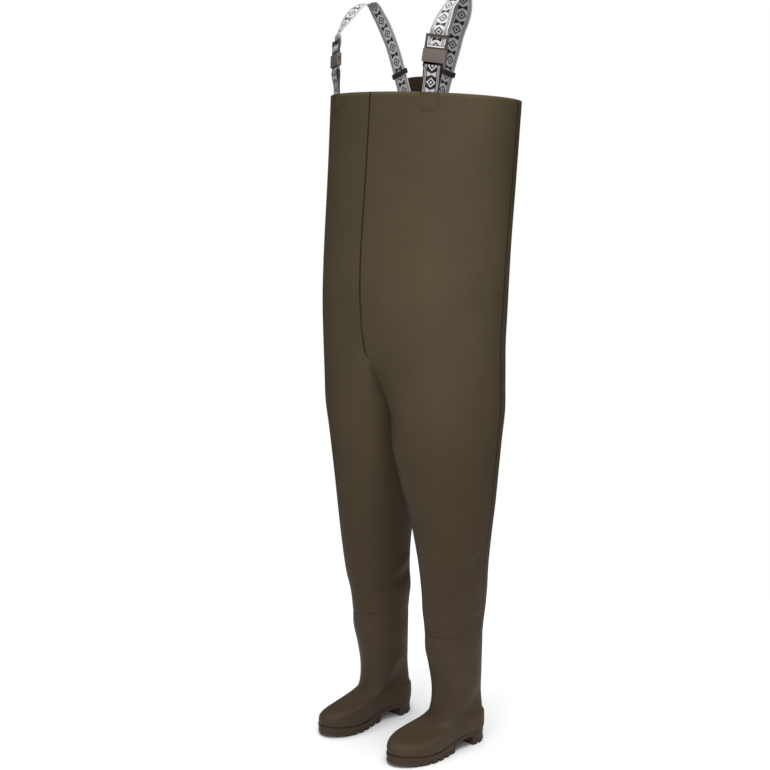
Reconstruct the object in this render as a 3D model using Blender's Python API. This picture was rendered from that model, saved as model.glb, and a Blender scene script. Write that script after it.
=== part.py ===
"""Chest wader: a welded PVC shell with two legs, moulded boots with cleated soles, and webbing braces.

Metres, +Z up. The wader faces -Y, the wearer's left is +X, and the floor is z = 0.
The left half is worked out from the sizes and tables below, and the right half mirrors it, apart from
the run of the braces, which hang a little unevenly.
"""

import math

import bmesh
import bpy
import numpy as np
from mathutils import Matrix, Vector

# Grid of every tube: each leg ring has COLUMNS columns, and a quarter of them face the other leg.
COLUMNS = 32
INNER = COLUMNS // 4
OUTER = COLUMNS - INNER
INNER_QUARTER = math.radians(45)
SIDE_COLUMN = 14

# Clearances between pieces that touch on the real wader.
GAP = 0.0003
SEAT_GAP = 0.0004

# Shell: PVC-coated fabric, welded.
SHELL_WALL = 0.0009
BODY_Y = 0.025
RIM_HEIGHT = 1.467
RIM_RISE = 0.0895
CHEST_HALF_WIDTH = 0.2536
CHEST_HALF_DEPTH = 0.1608
FORK_FRONT_HEIGHT = 0.945
FORK_BACK_HEIGHT = 0.925
CROTCH_HEIGHT = 0.855
LEG_TOP_HEIGHT = 0.790
LEG_END_HEIGHT = 0.274
LEG_OVERLAP = 0.040
STANCE = 0.122
CLEFT_NARROWNESS = 9
THIGH_HALF_WIDTH = 0.112
THIGH_HALF_DEPTH = 0.132
SEAM_WIDTH = 0.005
SEAM_THICKNESS = 0.0008

# Boots: moulded PVC.
BOOT_LENGTH = 0.286
BALL_WIDTH = 0.108
HEEL_BACK_Y = BODY_Y + 0.0716
BOOT_WALL = 0.0028
BOOT_HEIGHT = LEG_END_HEIGHT + LEG_OVERLAP
SHAFT_HALF_WIDTH = 0.0615
TOE_TURN_IN = 0.006
VAMP_ROLL = 0.16
VAMP_ROLL_RISE = 0.10
COUNTER_STEP = 0.0040
COUNTER_REACH = 0.30
COUNTER_FADE = 0.08
FOXING_LEDGE = 0.0022

# Outsole.
HEEL_SEAT = 0.034
BALL_SEAT = 0.019
TOE_SEAT = 0.026
LUG_DEPTH = 0.006
WAIST_LIFT = 0.021
TOE_SPRING = 0.009
LUG_PITCH = 0.0225
LUG_LENGTH = 0.0135
INSOLE_THICKNESS = 0.004

# Places along the sole: the toe spring and the forefoot start at shares of the boot's length.
SPRING_START = 0.74
FORE_START = 0.43
HEEL_LUGS = 3
HEEL_MARGIN = 0.004
CUT_REACH = 0.200
CHANNEL_WIDTH = 0.009
CHANNEL_SHARE = 0.8
INSOLE_ROOM = 0.0015

# Side of the sole from the top down. out: steps out in ledges; share: height as a share of the side.
SOLE_SIDE = (
    # out   share
    (1.00, 1.00),
    (1.00, 0.74),
    (0.45, 0.68),
    (0.45, 0.30),
    (0.75, 0.24),
    (0.75, 0.00),
)

# Braces: elastic webbing and moulded buckles. The buckle's heights are measured from the rim, up the strap.
WEBBING_WIDTH = 0.040
WEBBING_THICKNESS = 0.0014
ANCHOR_COLUMN = 5
ANCHOR_ANGLE = math.radians(35.8)
ANCHOR_DROP = 0.048
PATCH_WIDTH = 0.044
PATCH_HEIGHT = 0.038
PATCH_THICKNESS = 0.0008
PATCH_TIP = 0.45
BUCKLE_WIDTH = 0.052
BUCKLE_TILT = math.radians(5)
BAR_RISE = 0.052
BAR_HALF = 0.002
RAIL = 0.002
WEB_ROOM = 0.001
SOCKET_LOW = 0.061
SOCKET_HIGH = 0.088
SOCKET_DEPTH = 0.010
POCKET_HALF = 0.0215
PRONG_LOW = 0.071
PRONG_WIDTH = 0.005
PRONG_DEPTH = 0.0036
BARB_HIGH = 0.079
BARB_ROOM = 0.0005
PLUG_SHOULDER = 0.004
MIDDLE_BAR_LOW = 0.0965
MIDDLE_BAR_HIGH = 0.1000
MIDDLE_BAR_HALF = 0.0015
TOP_BAR_LOW = 0.1135
PLUG_HIGH = 0.119
TAIL_LENGTH = 0.009
LADDER_ROOM = 0.0006

# Run of the long webbing over the shoulder, from the rim's height at the body's axis, and the yoke.
BRACE_RISE = 0.218
BRACE_SPREAD = 0.152
BRACE_SWEEP = 0.125
BRACE_TWIST = {1: math.radians(36), -1: 0.0}
BRACE_POINTS = 24
YOKE_TOP = 0.150
YOKE_BOTTOM = 0.056
YOKE_HEIGHT = 0.085
YOKE_THICKNESS = 0.002
YOKE_RISE = 0.050
YOKE_JOIN = 0.050
YOKE_POINTS = 20
STITCHED_END = 0.060
SLIDE_LEAN = 0.022
SLIDE_HEIGHT = 0.011
SLIDE_ROOM = 0.0006
SLIDE_MARGIN = 0.006
BACK_BEND = 0.024
BACK_POINTS = 16

# Torso rings from the fork to the rim. up: share of the way; width, depth: shares of the chest's half
# width and half depth; forward: the ring's centre, and cleft: how far the front and back seams sink
# between the legs, as shares of the chest's half depth.
TORSO_RINGS = (
    # up    width  depth  forward cleft
    (0.00, 0.940, 1.060, 0.20, 0.12),
    (0.18, 0.960, 1.050, 0.19, 0.04),
    (0.40, 0.970, 1.030, 0.15, 0.01),
    (0.70, 0.985, 1.010, 0.07, 0.00),
    (1.00, 1.000, 1.000, 0.00, 0.00),
)

# Leg rings below the crotch. down: share of the way from the leg's top to its end; width, depth: shares
# of the thigh's half width and half depth; out: the centre, as a share of the stance; forward: as a
# share of the thigh's half depth; corner: how much fuller the ring is at its inner front, as a share.
LEG_RINGS = (
    # down  width  depth  out    forward corner
    (0.00, 1.000, 1.000, 0.967, 0.215, 0.10),
    (0.20, 0.900, 0.900, 0.987, 0.205, 0.17),
    (0.42, 0.790, 0.790, 1.020, 0.197, 0.07),
    (0.66, 0.680, 0.690, 1.022, 0.200, 0.00),
    (0.86, 0.615, 0.640, 1.022, 0.180, 0.00),
)

# Outline of the foot. along: share of its length from the heel; lateral, medial: fullness of that side,
# as shares of half the ball width. A fullness times the sine of the column's angle is a half width.
FOOT_OUTLINE = (
    # along lateral medial
    (0.00, 1.32, 1.32),
    (0.10, 1.13, 1.13),
    (0.25, 0.83, 0.83),
    (0.40, 0.76, 0.66),
    (0.55, 0.90, 0.80),
    (0.68, 1.06, 1.04),
    (0.85, 1.16, 1.18),
    (1.00, 1.20, 1.20),
)

# Boot rings from the feather line up. toe, heel: the ring's front and back ends, as shares of the boot's
# length from the heel; toe_up, heel_up: their heights above the sole's seat, as shares of the boot's
# height; width: share of the full width there; foot: 1 for the outline of the foot, 0 for an oval;
# counter: 1 where the heel's counter steps out.
BOOT_RINGS = (
    # toe    toe_up heel   heel_up width  foot  counter
    (0.984, 0.000, 0.018, 0.000, 0.965, 1.00, 1),
    (0.992, 0.040, 0.014, 0.050, 0.985, 1.00, 1),
    (0.965, 0.078, 0.015, 0.110, 0.960, 1.00, 1),
    (0.885, 0.100, 0.019, 0.168, 0.900, 1.00, 1),
    (0.875, 0.103, 0.021, 0.182, 0.890, 1.00, 0),
    (0.760, 0.110, 0.026, 0.226, 0.830, 0.95, 0),
    (0.640, 0.123, 0.034, 0.280, 0.770, 0.80, 0),
    (0.545, 0.154, 0.044, 0.334, 0.770, 0.60, 0),
    (0.500, 0.220, 0.052, 0.392, 0.820, 0.35, 0),
    (0.485, 0.340, 0.058, 0.468, 0.870, 0.12, 0),
    (0.520, 0.560, 0.060, 0.592, 0.920, 0.00, 0),
    (0.562, 0.740, 0.057, 0.750, 0.975, 0.00, 0),
)


def eased(x, table, column):
    """A column of a table at x: a cubic through its rows, with each slope taken from the rows beside."""
    table = np.array(table, float)
    xs, ys = table[:, 0], table[:, column]
    steps = np.diff(ys) / np.diff(xs)
    slopes = np.concatenate([[steps[0]], (steps[:-1] + steps[1:]) / 2, [steps[-1]]])
    x = np.clip(np.asarray(x, float), xs[0], xs[-1])
    i = np.clip(np.searchsorted(xs, x) - 1, 0, len(xs) - 2)
    h = xs[i + 1] - xs[i]
    t = (x - xs[i]) / h
    return (
        ys[i] * (1 + 2 * t) * (1 - t) ** 2
        + slopes[i] * h * t * (1 - t) ** 2
        + ys[i + 1] * t**2 * (3 - 2 * t)
        + slopes[i + 1] * h * t**2 * (t - 1)
    )


def oval(angle, half_width, half_depth):
    """x and y of an ellipse at an angle from its front, towards +X."""
    return half_width * np.sin(angle), -half_depth * np.cos(angle)


# Angles of the columns. The outer ones run from the front seam round the side to the back seam.
TORSO_ANGLES = np.interp(
    range(OUTER + 1), (0, ANCHOR_COLUMN, OUTER), (0, ANCHOR_ANGLE, math.pi)
)
LEG_ANGLES = -INNER_QUARTER + np.arange(COLUMNS) * 2 * math.pi / COLUMNS


def rim_height(y):
    """Height of the shell's rim, which slopes up towards the front."""
    return RIM_HEIGHT + RIM_RISE * (BODY_Y - y)


def torso_ring(up):
    """Outer columns of the left half at a share of the way from the fork to the rim."""
    width, depth, forward, cleft = (eased(up, TORSO_RINGS, c) for c in (1, 2, 3, 4))
    x, y = oval(TORSO_ANGLES, CHEST_HALF_WIDTH * width, CHEST_HALF_DEPTH * depth)
    y = y + BODY_Y - forward * CHEST_HALF_DEPTH
    y = y + cleft * CHEST_HALF_DEPTH * np.cos(TORSO_ANGLES) * np.abs(np.cos(TORSO_ANGLES)) ** CLEFT_NARROWNESS
    turn = (1 - np.cos(TORSO_ANGLES)) / 2
    fork = FORK_FRONT_HEIGHT + (FORK_BACK_HEIGHT - FORK_FRONT_HEIGHT) * turn
    return np.stack([x, y, fork + (rim_height(y) - fork) * up], -1)


def fork_curve(front, back):
    """The seam under the crotch, from the back seam to the front seam, both ends left out."""
    turn = np.linspace(math.pi, 0, INNER + 1)[1:-1]
    middle, reach = (front[1] + back[1]) / 2, (back[1] - front[1]) / 2
    end = np.where(turn < math.pi / 2, front[2], back[2])
    z = CROTCH_HEIGHT + (end - CROTCH_HEIGHT) * (1 - np.sin(turn)) ** 1.1
    return np.stack([0 * turn, middle - reach * np.cos(turn), z], -1)


def leg_ring(down):
    """A level ring of the left leg at a share of the way from its top to its end."""
    width, depth, out, forward, corner = (eased(down, LEG_RINGS, c) for c in (1, 2, 3, 4, 5))
    front, back = np.cos(LEG_ANGLES + INNER_QUARTER), np.cos(LEG_ANGLES - math.pi - INNER_QUARTER)
    fuller = 1 + corner * (np.clip(front, 0, 1) ** 4 + np.clip(back, 0, 1) ** 4 / 2)
    x, y = oval(LEG_ANGLES, THIGH_HALF_WIDTH * width * fuller, THIGH_HALF_DEPTH * depth * fuller)
    z = LEG_TOP_HEIGHT + (LEG_END_HEIGHT - LEG_TOP_HEIGHT) * down
    return np.stack(
        [x + out * STANCE, y + BODY_Y - forward * THIGH_HALF_DEPTH, z + 0 * x], -1
    )


def shaft_section(height, grow=0.0):
    """The boot's shaft at a height near its top, or a ring that far outside it."""
    ring = boot_rings()[-1].copy()
    middle = ring.mean(axis=0)
    reach = ring - middle
    reach *= 1 + grow / np.linalg.norm(reach[:, :2], axis=1)[:, None]
    ring = middle + reach
    ring[:, 2] = height
    return ring


def arched(fork, leg, share):
    """Between the fork ring and the leg's first ring: the inner columns leave the crotch in an arch."""
    ring = fork + (leg - fork) * share
    inner = np.arange(OUTER, COLUMNS)
    depth = np.sin(np.linspace(0, math.pi, INNER + 1))[:-1]
    out = math.sin(share * math.pi / 2)
    down = 1 - math.cos(share * math.pi / 2)
    arch_x = leg[inner, 0] * out
    arch_z = fork[inner, 2] + (leg[inner, 2] - fork[inner, 2]) * down
    ring[inner, 0] += (arch_x - ring[inner, 0]) * depth
    ring[inner, 2] += (arch_z - ring[inner, 2]) * depth
    return ring


def half_shell():
    """Torso rows of OUTER + 1 points and leg rows of COLUMNS points for the left half, rim first."""
    torso = [torso_ring(up) for up in (1.0, 0.90, 0.78, 0.62, 0.46, 0.30, 0.15, 0.0)]
    fork = np.vstack([torso[-1], fork_curve(torso[-1][0], torso[-1][-1])])
    top = leg_ring(0.0)
    outside = GAP + SHELL_WALL
    legs = [fork, arched(fork, top, 0.33), arched(fork, top, 0.67)]
    legs += [leg_ring(down) for down in (0.0, 0.14, 0.28, 0.42, 0.56, 0.70, 0.82)]
    legs += [shaft_section(BOOT_HEIGHT + 0.004, outside), shaft_section(LEG_END_HEIGHT, outside)]
    return torso, legs


def shell_surface():
    """Points and faces of the shell's outer surface, both halves, and the index of each left point."""
    torso, legs = half_shell()
    points, faces, index = [], [], {}

    def place(key, point):
        side, seam = key[0], abs(point[0]) < 1e-9
        shared = ("both",) + key[1:] if seam else key
        if shared not in index:
            index[shared] = len(points)
            points.append((point[0] * side, point[1], point[2]))
        index[key] = index[shared]
        return index[key]

    for side in (1, -1):
        rows = [[place((side, "torso", r, c), p) for c, p in enumerate(ring)]
                for r, ring in enumerate(torso[:-1])]
        leg_rows = [[place((side, "leg", r, c), p) for c, p in enumerate(ring)]
                    for r, ring in enumerate(legs)]
        rows.append(leg_rows[0][: OUTER + 1])
        quads = [(a[c], b[c], b[c + 1], a[c + 1])
                 for a, b in zip(rows, rows[1:]) for c in range(OUTER)]
        quads += [(a[c], b[c], b[(c + 1) % COLUMNS], a[(c + 1) % COLUMNS])
                  for a, b in zip(leg_rows, leg_rows[1:]) for c in range(COLUMNS)]
        faces += [q if side == 1 else q[::-1] for q in quads]
    return np.array(points), faces, index


def surface_normals(points, faces):
    """Outward normal at each point of an open surface."""
    normals = np.zeros_like(points)
    for face in faces:
        a, b, c, d = (points[i] for i in face)
        cross = np.cross(c - a, d - b)
        for i in face:
            normals[i] += cross / (np.linalg.norm(cross) + 1e-12)
    return normals / np.linalg.norm(normals, axis=1)[:, None]


def open_edges(faces):
    """Directed edges that only one face has."""
    edges = {(a, b) for f in faces for a, b in zip(f, f[1:] + f[:1])}
    return [(a, b) for a, b in edges if (b, a) not in edges]


def thickened(points, faces, wall):
    """A closed wall: the surface, its copy set in by wall, and the rims that join them."""
    count = len(points)
    inner = points - surface_normals(points, faces) * wall
    walls = list(faces) + [tuple(i + count for i in f[::-1]) for f in faces]
    walls += [(b, a, a + count, b + count) for a, b in open_edges(faces)]
    return np.vstack([points, inner]), walls


# Boot and sole: points run along the foot from the heel, across it towards the little toe, and up.
def seat_height(along):
    """Height of the sole's upper face: high under the heel, lowest at the ball, and up at the toe."""
    table = (
        (0.00, HEEL_SEAT),
        (0.20, HEEL_SEAT - 0.0005),
        (0.42, (HEEL_SEAT + BALL_SEAT) / 2),
        (0.64, BALL_SEAT),
        (0.82, BALL_SEAT + 0.002),
        (1.00, TOE_SEAT),
    )
    return eased(along, table, 1)


def foot_outline(width=1.0, foot=1.0, oval_half_width=0.0, angles=LEG_ANGLES):
    """Share along the foot and distance across it at each column of a ring around the foot."""
    share = (1 + np.cos(angles)) / 2
    side = np.where(np.sin(angles) >= 0, eased(share, FOOT_OUTLINE, 1), eased(share, FOOT_OUTLINE, 2))
    full = side * BALL_WIDTH / 2 * foot + oval_half_width * (1 - foot)
    across = np.sin(angles) * full * width
    across = across - TOE_TURN_IN * foot * np.clip((share - 0.45) / 0.55, 0, 1) ** 2
    return share, across


def boot_rings():
    """Rings of the left boot's outer surface in the wader's frame, from the feather line up."""
    rings = []
    for toe, toe_up, heel, heel_up, width, foot, counter in BOOT_RINGS:
        share, across = foot_outline(width, foot, SHAFT_HALF_WIDTH)
        along = heel + (toe - heel) * share
        rise = heel_up + (toe_up - heel_up) * share
        seat = seat_height(along)
        level = seat + (HEEL_SEAT - seat) * np.clip(rise * 3, 0, 1)
        z = level + SEAT_GAP + rise * (BOOT_HEIGHT - HEEL_SEAT)
        z = z - VAMP_ROLL * across * share * np.clip(rise / VAMP_ROLL_RISE, 0, 1) * foot
        ring = np.stack([STANCE + across, HEEL_BACK_Y - along * BOOT_LENGTH, z], -1)
        step = COUNTER_STEP * counter * np.clip((COUNTER_REACH - share) / COUNTER_FADE, 0, 1)
        rings.append(outset(ring, step[:, None]))
    top = rings[-1].copy()
    top[:, 2] = BOOT_HEIGHT
    return rings + [top]


def outset(ring, distance):
    """A ring moved outwards in plan by a distance, along the plan normals of its points."""
    step = np.roll(ring, -1, axis=0) - np.roll(ring, 1, axis=0)
    normal = np.stack([-step[:, 1], step[:, 0]], -1)
    normal /= np.linalg.norm(normal, axis=1)[:, None]
    middle = ring[:, :2].mean(axis=0)
    facing = np.sign(((ring[:, :2] - middle) * normal).sum(axis=1).sum())
    moved = ring.copy()
    moved[:, :2] += normal * facing * distance
    return moved


def ring_faces(count, around):
    """Faces between rings of points, each ring closed on itself."""
    return [
        (a + c, a + around + c, a + around + (c + 1) % around, a + (c + 1) % around)
        for a in range(0, (count - 1) * around, around)
        for c in range(around)
    ]


def grid_solid(rows):
    """Points and faces of a solid between rings, each row one ring, with both ends capped by strips.

    The caps join each point to its mirror across the ring's first point and its opposite.
    """
    rows = np.asarray(rows)
    count, around = rows.shape[:2]
    faces = ring_faces(count, around)
    for base, flip in ((0, True), ((count - 1) * around, False)):
        half = around // 2
        for j in range(half):
            a, b = base + j, base + (j + 1) % around
            c, d = base + (around - j - 1) % around, base + (around - j) % around
            loop = [a, b, c, d]
            loop = [v for i, v in enumerate(loop) if v != loop[i - 1]]
            faces.append(tuple(loop[::-1] if flip else loop))
    return rows.reshape(-1, 3), faces


def mesh_object(name, points, faces, material, smooth=True):
    """A named mesh object from points and faces, with its faces turned outwards."""
    mesh = bpy.data.meshes.new(name)
    mesh.from_pydata([tuple(p) for p in points], [], [tuple(f) for f in faces])
    shell = bmesh.new()
    shell.from_mesh(mesh)
    bmesh.ops.recalc_face_normals(shell, faces=shell.faces)
    if shell.calc_volume(signed=True) < 0:
        bmesh.ops.reverse_faces(shell, faces=shell.faces)
    shell.to_mesh(mesh)
    shell.free()
    mesh.materials.append(material)
    if smooth:
        mesh.shade_smooth()
        mesh.set_sharp_from_angle(angle=math.radians(40))
    item = bpy.data.objects.new(name, mesh)
    bpy.context.collection.objects.link(item)
    return item


def paint(name, colour, roughness):
    """A Principled material of one colour; the colour is linear RGB."""
    material = bpy.data.materials.new(name)
    material.use_nodes = True
    shader = material.node_tree.nodes["Principled BSDF"]
    shader.inputs["Base Color"].default_value = (*colour, 1)
    shader.inputs["Roughness"].default_value = roughness
    return material


def mirrored(points, side):
    """Points as they are for the left side (1), or mirrored for the right side (-1)."""
    return np.asarray(points) * (side, 1, 1)


# Pieces on the shell: strips and patches follow its rows and columns.
def shell_rows():
    """The left half's rows from the rim down: torso rings, then leg rings, with their outward normals."""
    torso, legs = half_shell()
    points, faces, index = shell_surface()
    normals = surface_normals(points, faces)
    rows = []
    for part, rings in (("torso", torso[:-1]), ("leg", legs)):
        for r in range(len(rings)):
            row = [index[(1, part, r, c)] for c in range(OUTER + 1)]
            rows.append([(points[i], normals[i]) for i in row])
    return np.array(rows)


def shell_spot(rows, row, column, side=1):
    """Point and outward normal on the shell at a fractional row and column; under 0 is past the front."""
    past_front, past_back = column < 0, column > OUTER
    column = -column if past_front else 2 * OUTER - column if past_back else column
    r0, c0 = min(int(row), len(rows) - 2), min(int(column), OUTER - 1)
    fr, fc = row - r0, column - c0
    corner = rows[r0 : r0 + 2, c0 : c0 + 2]
    spot = (corner[0, 0] * (1 - fc) + corner[0, 1] * fc) * (1 - fr)
    spot = spot + (corner[1, 0] * (1 - fc) + corner[1, 1] * fc) * fr
    flip = side * (-1 if past_front or past_back else 1)
    point, normal = spot * (flip, 1, 1)
    return point, normal / np.linalg.norm(normal)


def overlay(name, rows, row_list, columns_at, thickness, material, side=1, lift=GAP):
    """A thin solid on the shell's outer face; columns_at gives the columns of each row."""
    low, high = [], []
    for row in row_list:
        spots = [shell_spot(rows, row, c, side) for c in columns_at(row)]
        low.append([p + n * lift for p, n in spots])
        high.append([p + n * (lift + thickness) for p, n in spots])
    low, high = np.array(low), np.array(high)
    rings = [np.vstack([a, b[::-1]]) for a, b in zip(low, high)]
    across = low.shape[1]
    count = 2 * across
    faces = ring_faces(len(rings), count)
    for base in (0, (len(rings) - 1) * count):
        end = base + count
        faces += [(base + c, base + c + 1, end - 2 - c, end - 1 - c) for c in range(across - 1)]
    return mesh_object(name, np.vstack(rings), faces, material)


def seam(name, rows, column, first, last, material, side=1):
    """A weld tape along one column of the shell, from one row to another."""
    def columns_at(row):
        here = shell_spot(rows, row, column)[0]
        near = shell_spot(rows, row, column + 1 if column < OUTER else column - 1)[0]
        half = SEAM_WIDTH / 2 / np.linalg.norm(near - here)
        return (column - half, column, column + half)

    return overlay(name, rows, list(range(first, last + 1)), columns_at, SEAM_THICKNESS, material, side)


def shell(material):
    """The garment's hollow body with two legs, open at the rim and at both ankles."""
    points, faces, _ = shell_surface()
    return mesh_object("shell", *thickened(points, faces, SHELL_WALL), material)


def boot(name, side, material):
    """A moulded boot: rings from the feather line up, with a wall set in, open above and below."""
    rings = boot_rings()
    points = mirrored(np.vstack(rings), side)
    faces = ring_faces(len(rings), COLUMNS)
    faces = faces if side == -1 else [f[::-1] for f in faces]
    return mesh_object(name, *thickened(points, faces, BOOT_WALL), material)


def sole_edge(distance=0.0):
    """The boot's feather line in plan, set out by a distance, for pieces that meet it."""
    return outset(boot_rings()[0], distance)


def ground(along):
    """Height of the sole's underside over the floor: flat, then a rise under the toe."""
    return TOE_SPRING * np.clip((along - SPRING_START) / (1 - SPRING_START), 0, 1) ** 2


def along_foot(points):
    """Share along the boot from the heel, for points in the wader's frame."""
    return (HEEL_BACK_Y - points[:, 1]) / BOOT_LENGTH


def outsole(name, side, material):
    """A cleated sole: a ribbed block under the boot, with the waist and the grooves cut from below."""
    rings = []
    for out, share in SOLE_SIDE:
        ring = sole_edge(FOXING_LEDGE * out)
        low, high = ground(along_foot(ring)), seat_height(along_foot(ring))
        ring[:, 2] = low + (high - low) * share
        rings.append(ring)
    start = INNER // 2
    rings = [np.roll(ring, -start, axis=0) for ring in rings]
    points, faces = grid_solid(rings)
    body = mesh_object(name, mirrored(points, side), faces, material)
    cutters = []
    for begin, end, height in sole_grooves():
        lift = float(ground((begin + end) / 2 / BOOT_LENGTH))
        cutters.append(sole_cutter(side, CUT_REACH, begin, end, height + lift))
    cut(body, name + "_grooves", cutters)
    depth = LUG_DEPTH * CHANNEL_SHARE
    channels = [sole_cutter(side, CHANNEL_WIDTH, begin, end, depth) for begin, end in sole_channels()]
    cut(body, name + "_channel", channels)
    return body


def sole_cutter(side, width, begin, end, height):
    """Centre and size of a box that cuts the sole from below, between two distances from the heel."""
    return (side * STANCE, HEEL_BACK_Y - (begin + end) / 2, 0), (width, end - begin, 2 * height)


def sole_grooves():
    """Start, end and height of each cut across the sole, measured from the heel's back."""
    grooves = []
    for i in range(HEEL_LUGS - 1):
        begin = HEEL_MARGIN + i * LUG_PITCH + LUG_LENGTH
        grooves.append((begin, begin + LUG_PITCH - LUG_LENGTH, LUG_DEPTH))
    heel_end = HEEL_MARGIN + (HEEL_LUGS - 1) * LUG_PITCH + LUG_LENGTH
    fore_start = FORE_START * BOOT_LENGTH
    grooves.append((heel_end, fore_start, WAIST_LIFT))
    fore_lugs = int((BOOT_LENGTH - fore_start) / LUG_PITCH)
    for i in range(fore_lugs):
        begin = fore_start + i * LUG_PITCH + LUG_LENGTH
        grooves.append((begin, begin + LUG_PITCH - LUG_LENGTH, LUG_DEPTH))
    return grooves


def sole_channels():
    """Start and end of the channels that part the cleats along the middle, under the heel and forefoot."""
    heel_end = HEEL_MARGIN + (HEEL_LUGS - 1) * LUG_PITCH
    fore_start = FORE_START * BOOT_LENGTH
    return ((HEEL_MARGIN + LUG_LENGTH / 2, heel_end), (fore_start + LUG_LENGTH / 2, BOOT_LENGTH * 0.9))


def box_mesh(boxes):
    """Points and faces of several boxes that don't meet: each is a centre and a size."""
    corners = np.array([(x, y, z) for x in (-0.5, 0.5) for y in (-0.5, 0.5) for z in (-0.5, 0.5)])
    quads = ((0, 1, 3, 2), (4, 6, 7, 5), (0, 4, 5, 1), (2, 3, 7, 6), (0, 2, 6, 4), (1, 5, 7, 3))
    points, faces = [], []
    for centre, size in boxes:
        faces += [tuple(len(points) + i for i in quad) for quad in quads]
        points += list(corners * size + centre)
    return points, faces


def boolean(target, name, boxes, operation, matrix=None):
    """Joins boxes to a piece or cuts them from it, with a hidden helper object."""
    helper = mesh_object(name, *box_mesh(boxes), target.data.materials[0], smooth=False)
    if matrix is not None:
        helper.matrix_world = matrix
    helper.hide_render = True
    helper.display_type = "WIRE"
    modifier = target.modifiers.new(name, "BOOLEAN")
    modifier.operation = operation
    modifier.object = helper


def cut(target, name, boxes, matrix=None):
    boolean(target, name, boxes, "DIFFERENCE", matrix)


def join(target, name, boxes, matrix=None):
    boolean(target, name, boxes, "UNION", matrix)


def insole(name, side, material):
    """A flat footbed inside the boot, on the sole."""
    edge = sole_edge(-(BOOT_WALL + INSOLE_ROOM))
    rings = []
    for lift in (SEAT_GAP, SEAT_GAP + INSOLE_THICKNESS):
        ring = np.roll(edge, -(INNER // 2), axis=0)
        ring[:, 2] = seat_height(along_foot(ring)) + lift
        rings.append(ring)
    points, faces = grid_solid(rings)
    return mesh_object(name, mirrored(points, side), faces, material)


# Braces.
def unit(vector):
    vector = np.asarray(vector, float)
    return vector / np.linalg.norm(vector)


def band(name, path, faces_out, width, thickness, material):
    """A flat band along a path: faces_out gives the way its outer face looks at each point."""
    path = np.asarray(path, float)
    tangent = np.gradient(path, axis=0)
    tangent /= np.linalg.norm(tangent, axis=1)[:, None]
    outward = faces_out - tangent * (faces_out * tangent).sum(axis=1)[:, None]
    outward /= np.linalg.norm(outward, axis=1)[:, None]
    across = np.cross(tangent, outward)
    corners = ((-1, -1), (1, -1), (1, 1), (-1, 1))
    rings = [path + across * (a * width / 2) + outward * (b * thickness / 2) for a, b in corners]
    points = np.stack(rings, axis=1).reshape(-1, 3)
    quads = [(4 * r + c, 4 * r + (c + 1) % 4, 4 * r + 4 + (c + 1) % 4, 4 * r + 4 + c)
             for r in range(len(path) - 1) for c in range(4)]
    last = 4 * (len(path) - 1)
    quads += [(3, 2, 1, 0), (last, last + 1, last + 2, last + 3)]
    return mesh_object(name, points, quads, material)


def smooth_path(points, count, carried=None):
    """A cubic through points at count places evenly along it, or what the points carry there."""
    points = np.asarray(points, float)
    steps = np.linalg.norm(np.diff(points, axis=0), axis=1)
    marks = np.concatenate([[0], np.cumsum(steps)])
    values = points if carried is None else np.asarray(carried, float)
    places = np.linspace(0, marks[-1], count)
    return np.stack([eased(places, np.column_stack([marks, v]), 1) for v in values.T], -1)


def anchor_frame(rows, column, side):
    """Matrix of an anchor on the rim: across the strap, up along it, and outwards; origin on the rim."""
    here, normal = shell_spot(rows, 0, column, side)
    below = shell_spot(rows, 1, column, side)[0]
    up = unit(here - below)
    normal = unit(normal - up * normal.dot(up))
    across = np.cross(up, normal)
    return np.column_stack([across, up, normal]), here


def webbing_depth(rows, column, side, frame, here):
    """How far inside the rim's tangent plane the wall's inner face comes within the webbing's width."""
    depth = 0.0
    for row in (0, 1):
        for c in np.arange(column - 2, column + 2.01, 0.25):
            point, normal = shell_spot(rows, row, c, side)
            local = (point - normal * SHELL_WALL - here) @ frame
            if abs(local[0]) <= WEBBING_WIDTH / 2 + GAP:
                depth = max(depth, -local[2])
    return depth


def placed(route, frame, here):
    """World points of a route given across, up and outwards from an anchor."""
    return np.asarray(route) @ frame.T + here


def short_strap(name, frame, turned, here, depth, material):
    """The short webbing: up inside the bib, over the socket's bar, and back down behind itself."""
    t = WEBBING_THICKNESS
    front = -(depth + GAP + t / 2)
    back = front - t - GAP
    clear = BAR_HALF * math.sqrt(2) + GAP + t / 2
    turns = [math.radians(a) for a in (0, 45, 90, 135, 180)]
    over = [(0, BAR_RISE + clear * math.sin(a), clear * math.cos(a)) for a in turns]
    near = front * 0.7
    rise = [(0, BAR_RISE / 3, near), *over, (0, BAR_RISE / 3, near - t - GAP * 2)]
    path = np.vstack([
        placed([(0, -ANCHOR_DROP, front), (0, 0, front)], frame, here),
        placed(rise, turned, here),
        placed([(0, 0, back), (0, -ANCHOR_DROP, back)], frame, here),
    ])
    widths = np.array([frame[:, 0]] * 2 + [turned[:, 0]] * (len(over) + 2) + [frame[:, 0]] * 2)
    outward = np.cross(widths, np.gradient(path, axis=0))
    return band(name, path, outward, WEBBING_WIDTH, t, material)


def tilted(frame, tilt):
    """An anchor's frame turned about its outward axis, so that its up leans along the rim."""
    across, up, normal = frame.T
    up = up * math.cos(tilt) + across * math.sin(tilt)
    return np.column_stack([np.cross(up, normal), up, normal])


def world_matrix(frame, origin):
    matrix = Matrix([list(row) for row in frame]).to_4x4()
    matrix.translation = Vector(origin)
    return matrix


def box_between(x, y, z):
    """Centre and size of a box from its limits along each axis."""
    limits = np.array([x, y, z])
    return limits.mean(axis=1), limits[:, 1] - limits[:, 0]


def twin_boxes(x, y, z):
    """A box and its mirror across the middle of the strap."""
    return [box_between(x, y, z), box_between((-x[1], -x[0]), y, z)]


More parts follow.
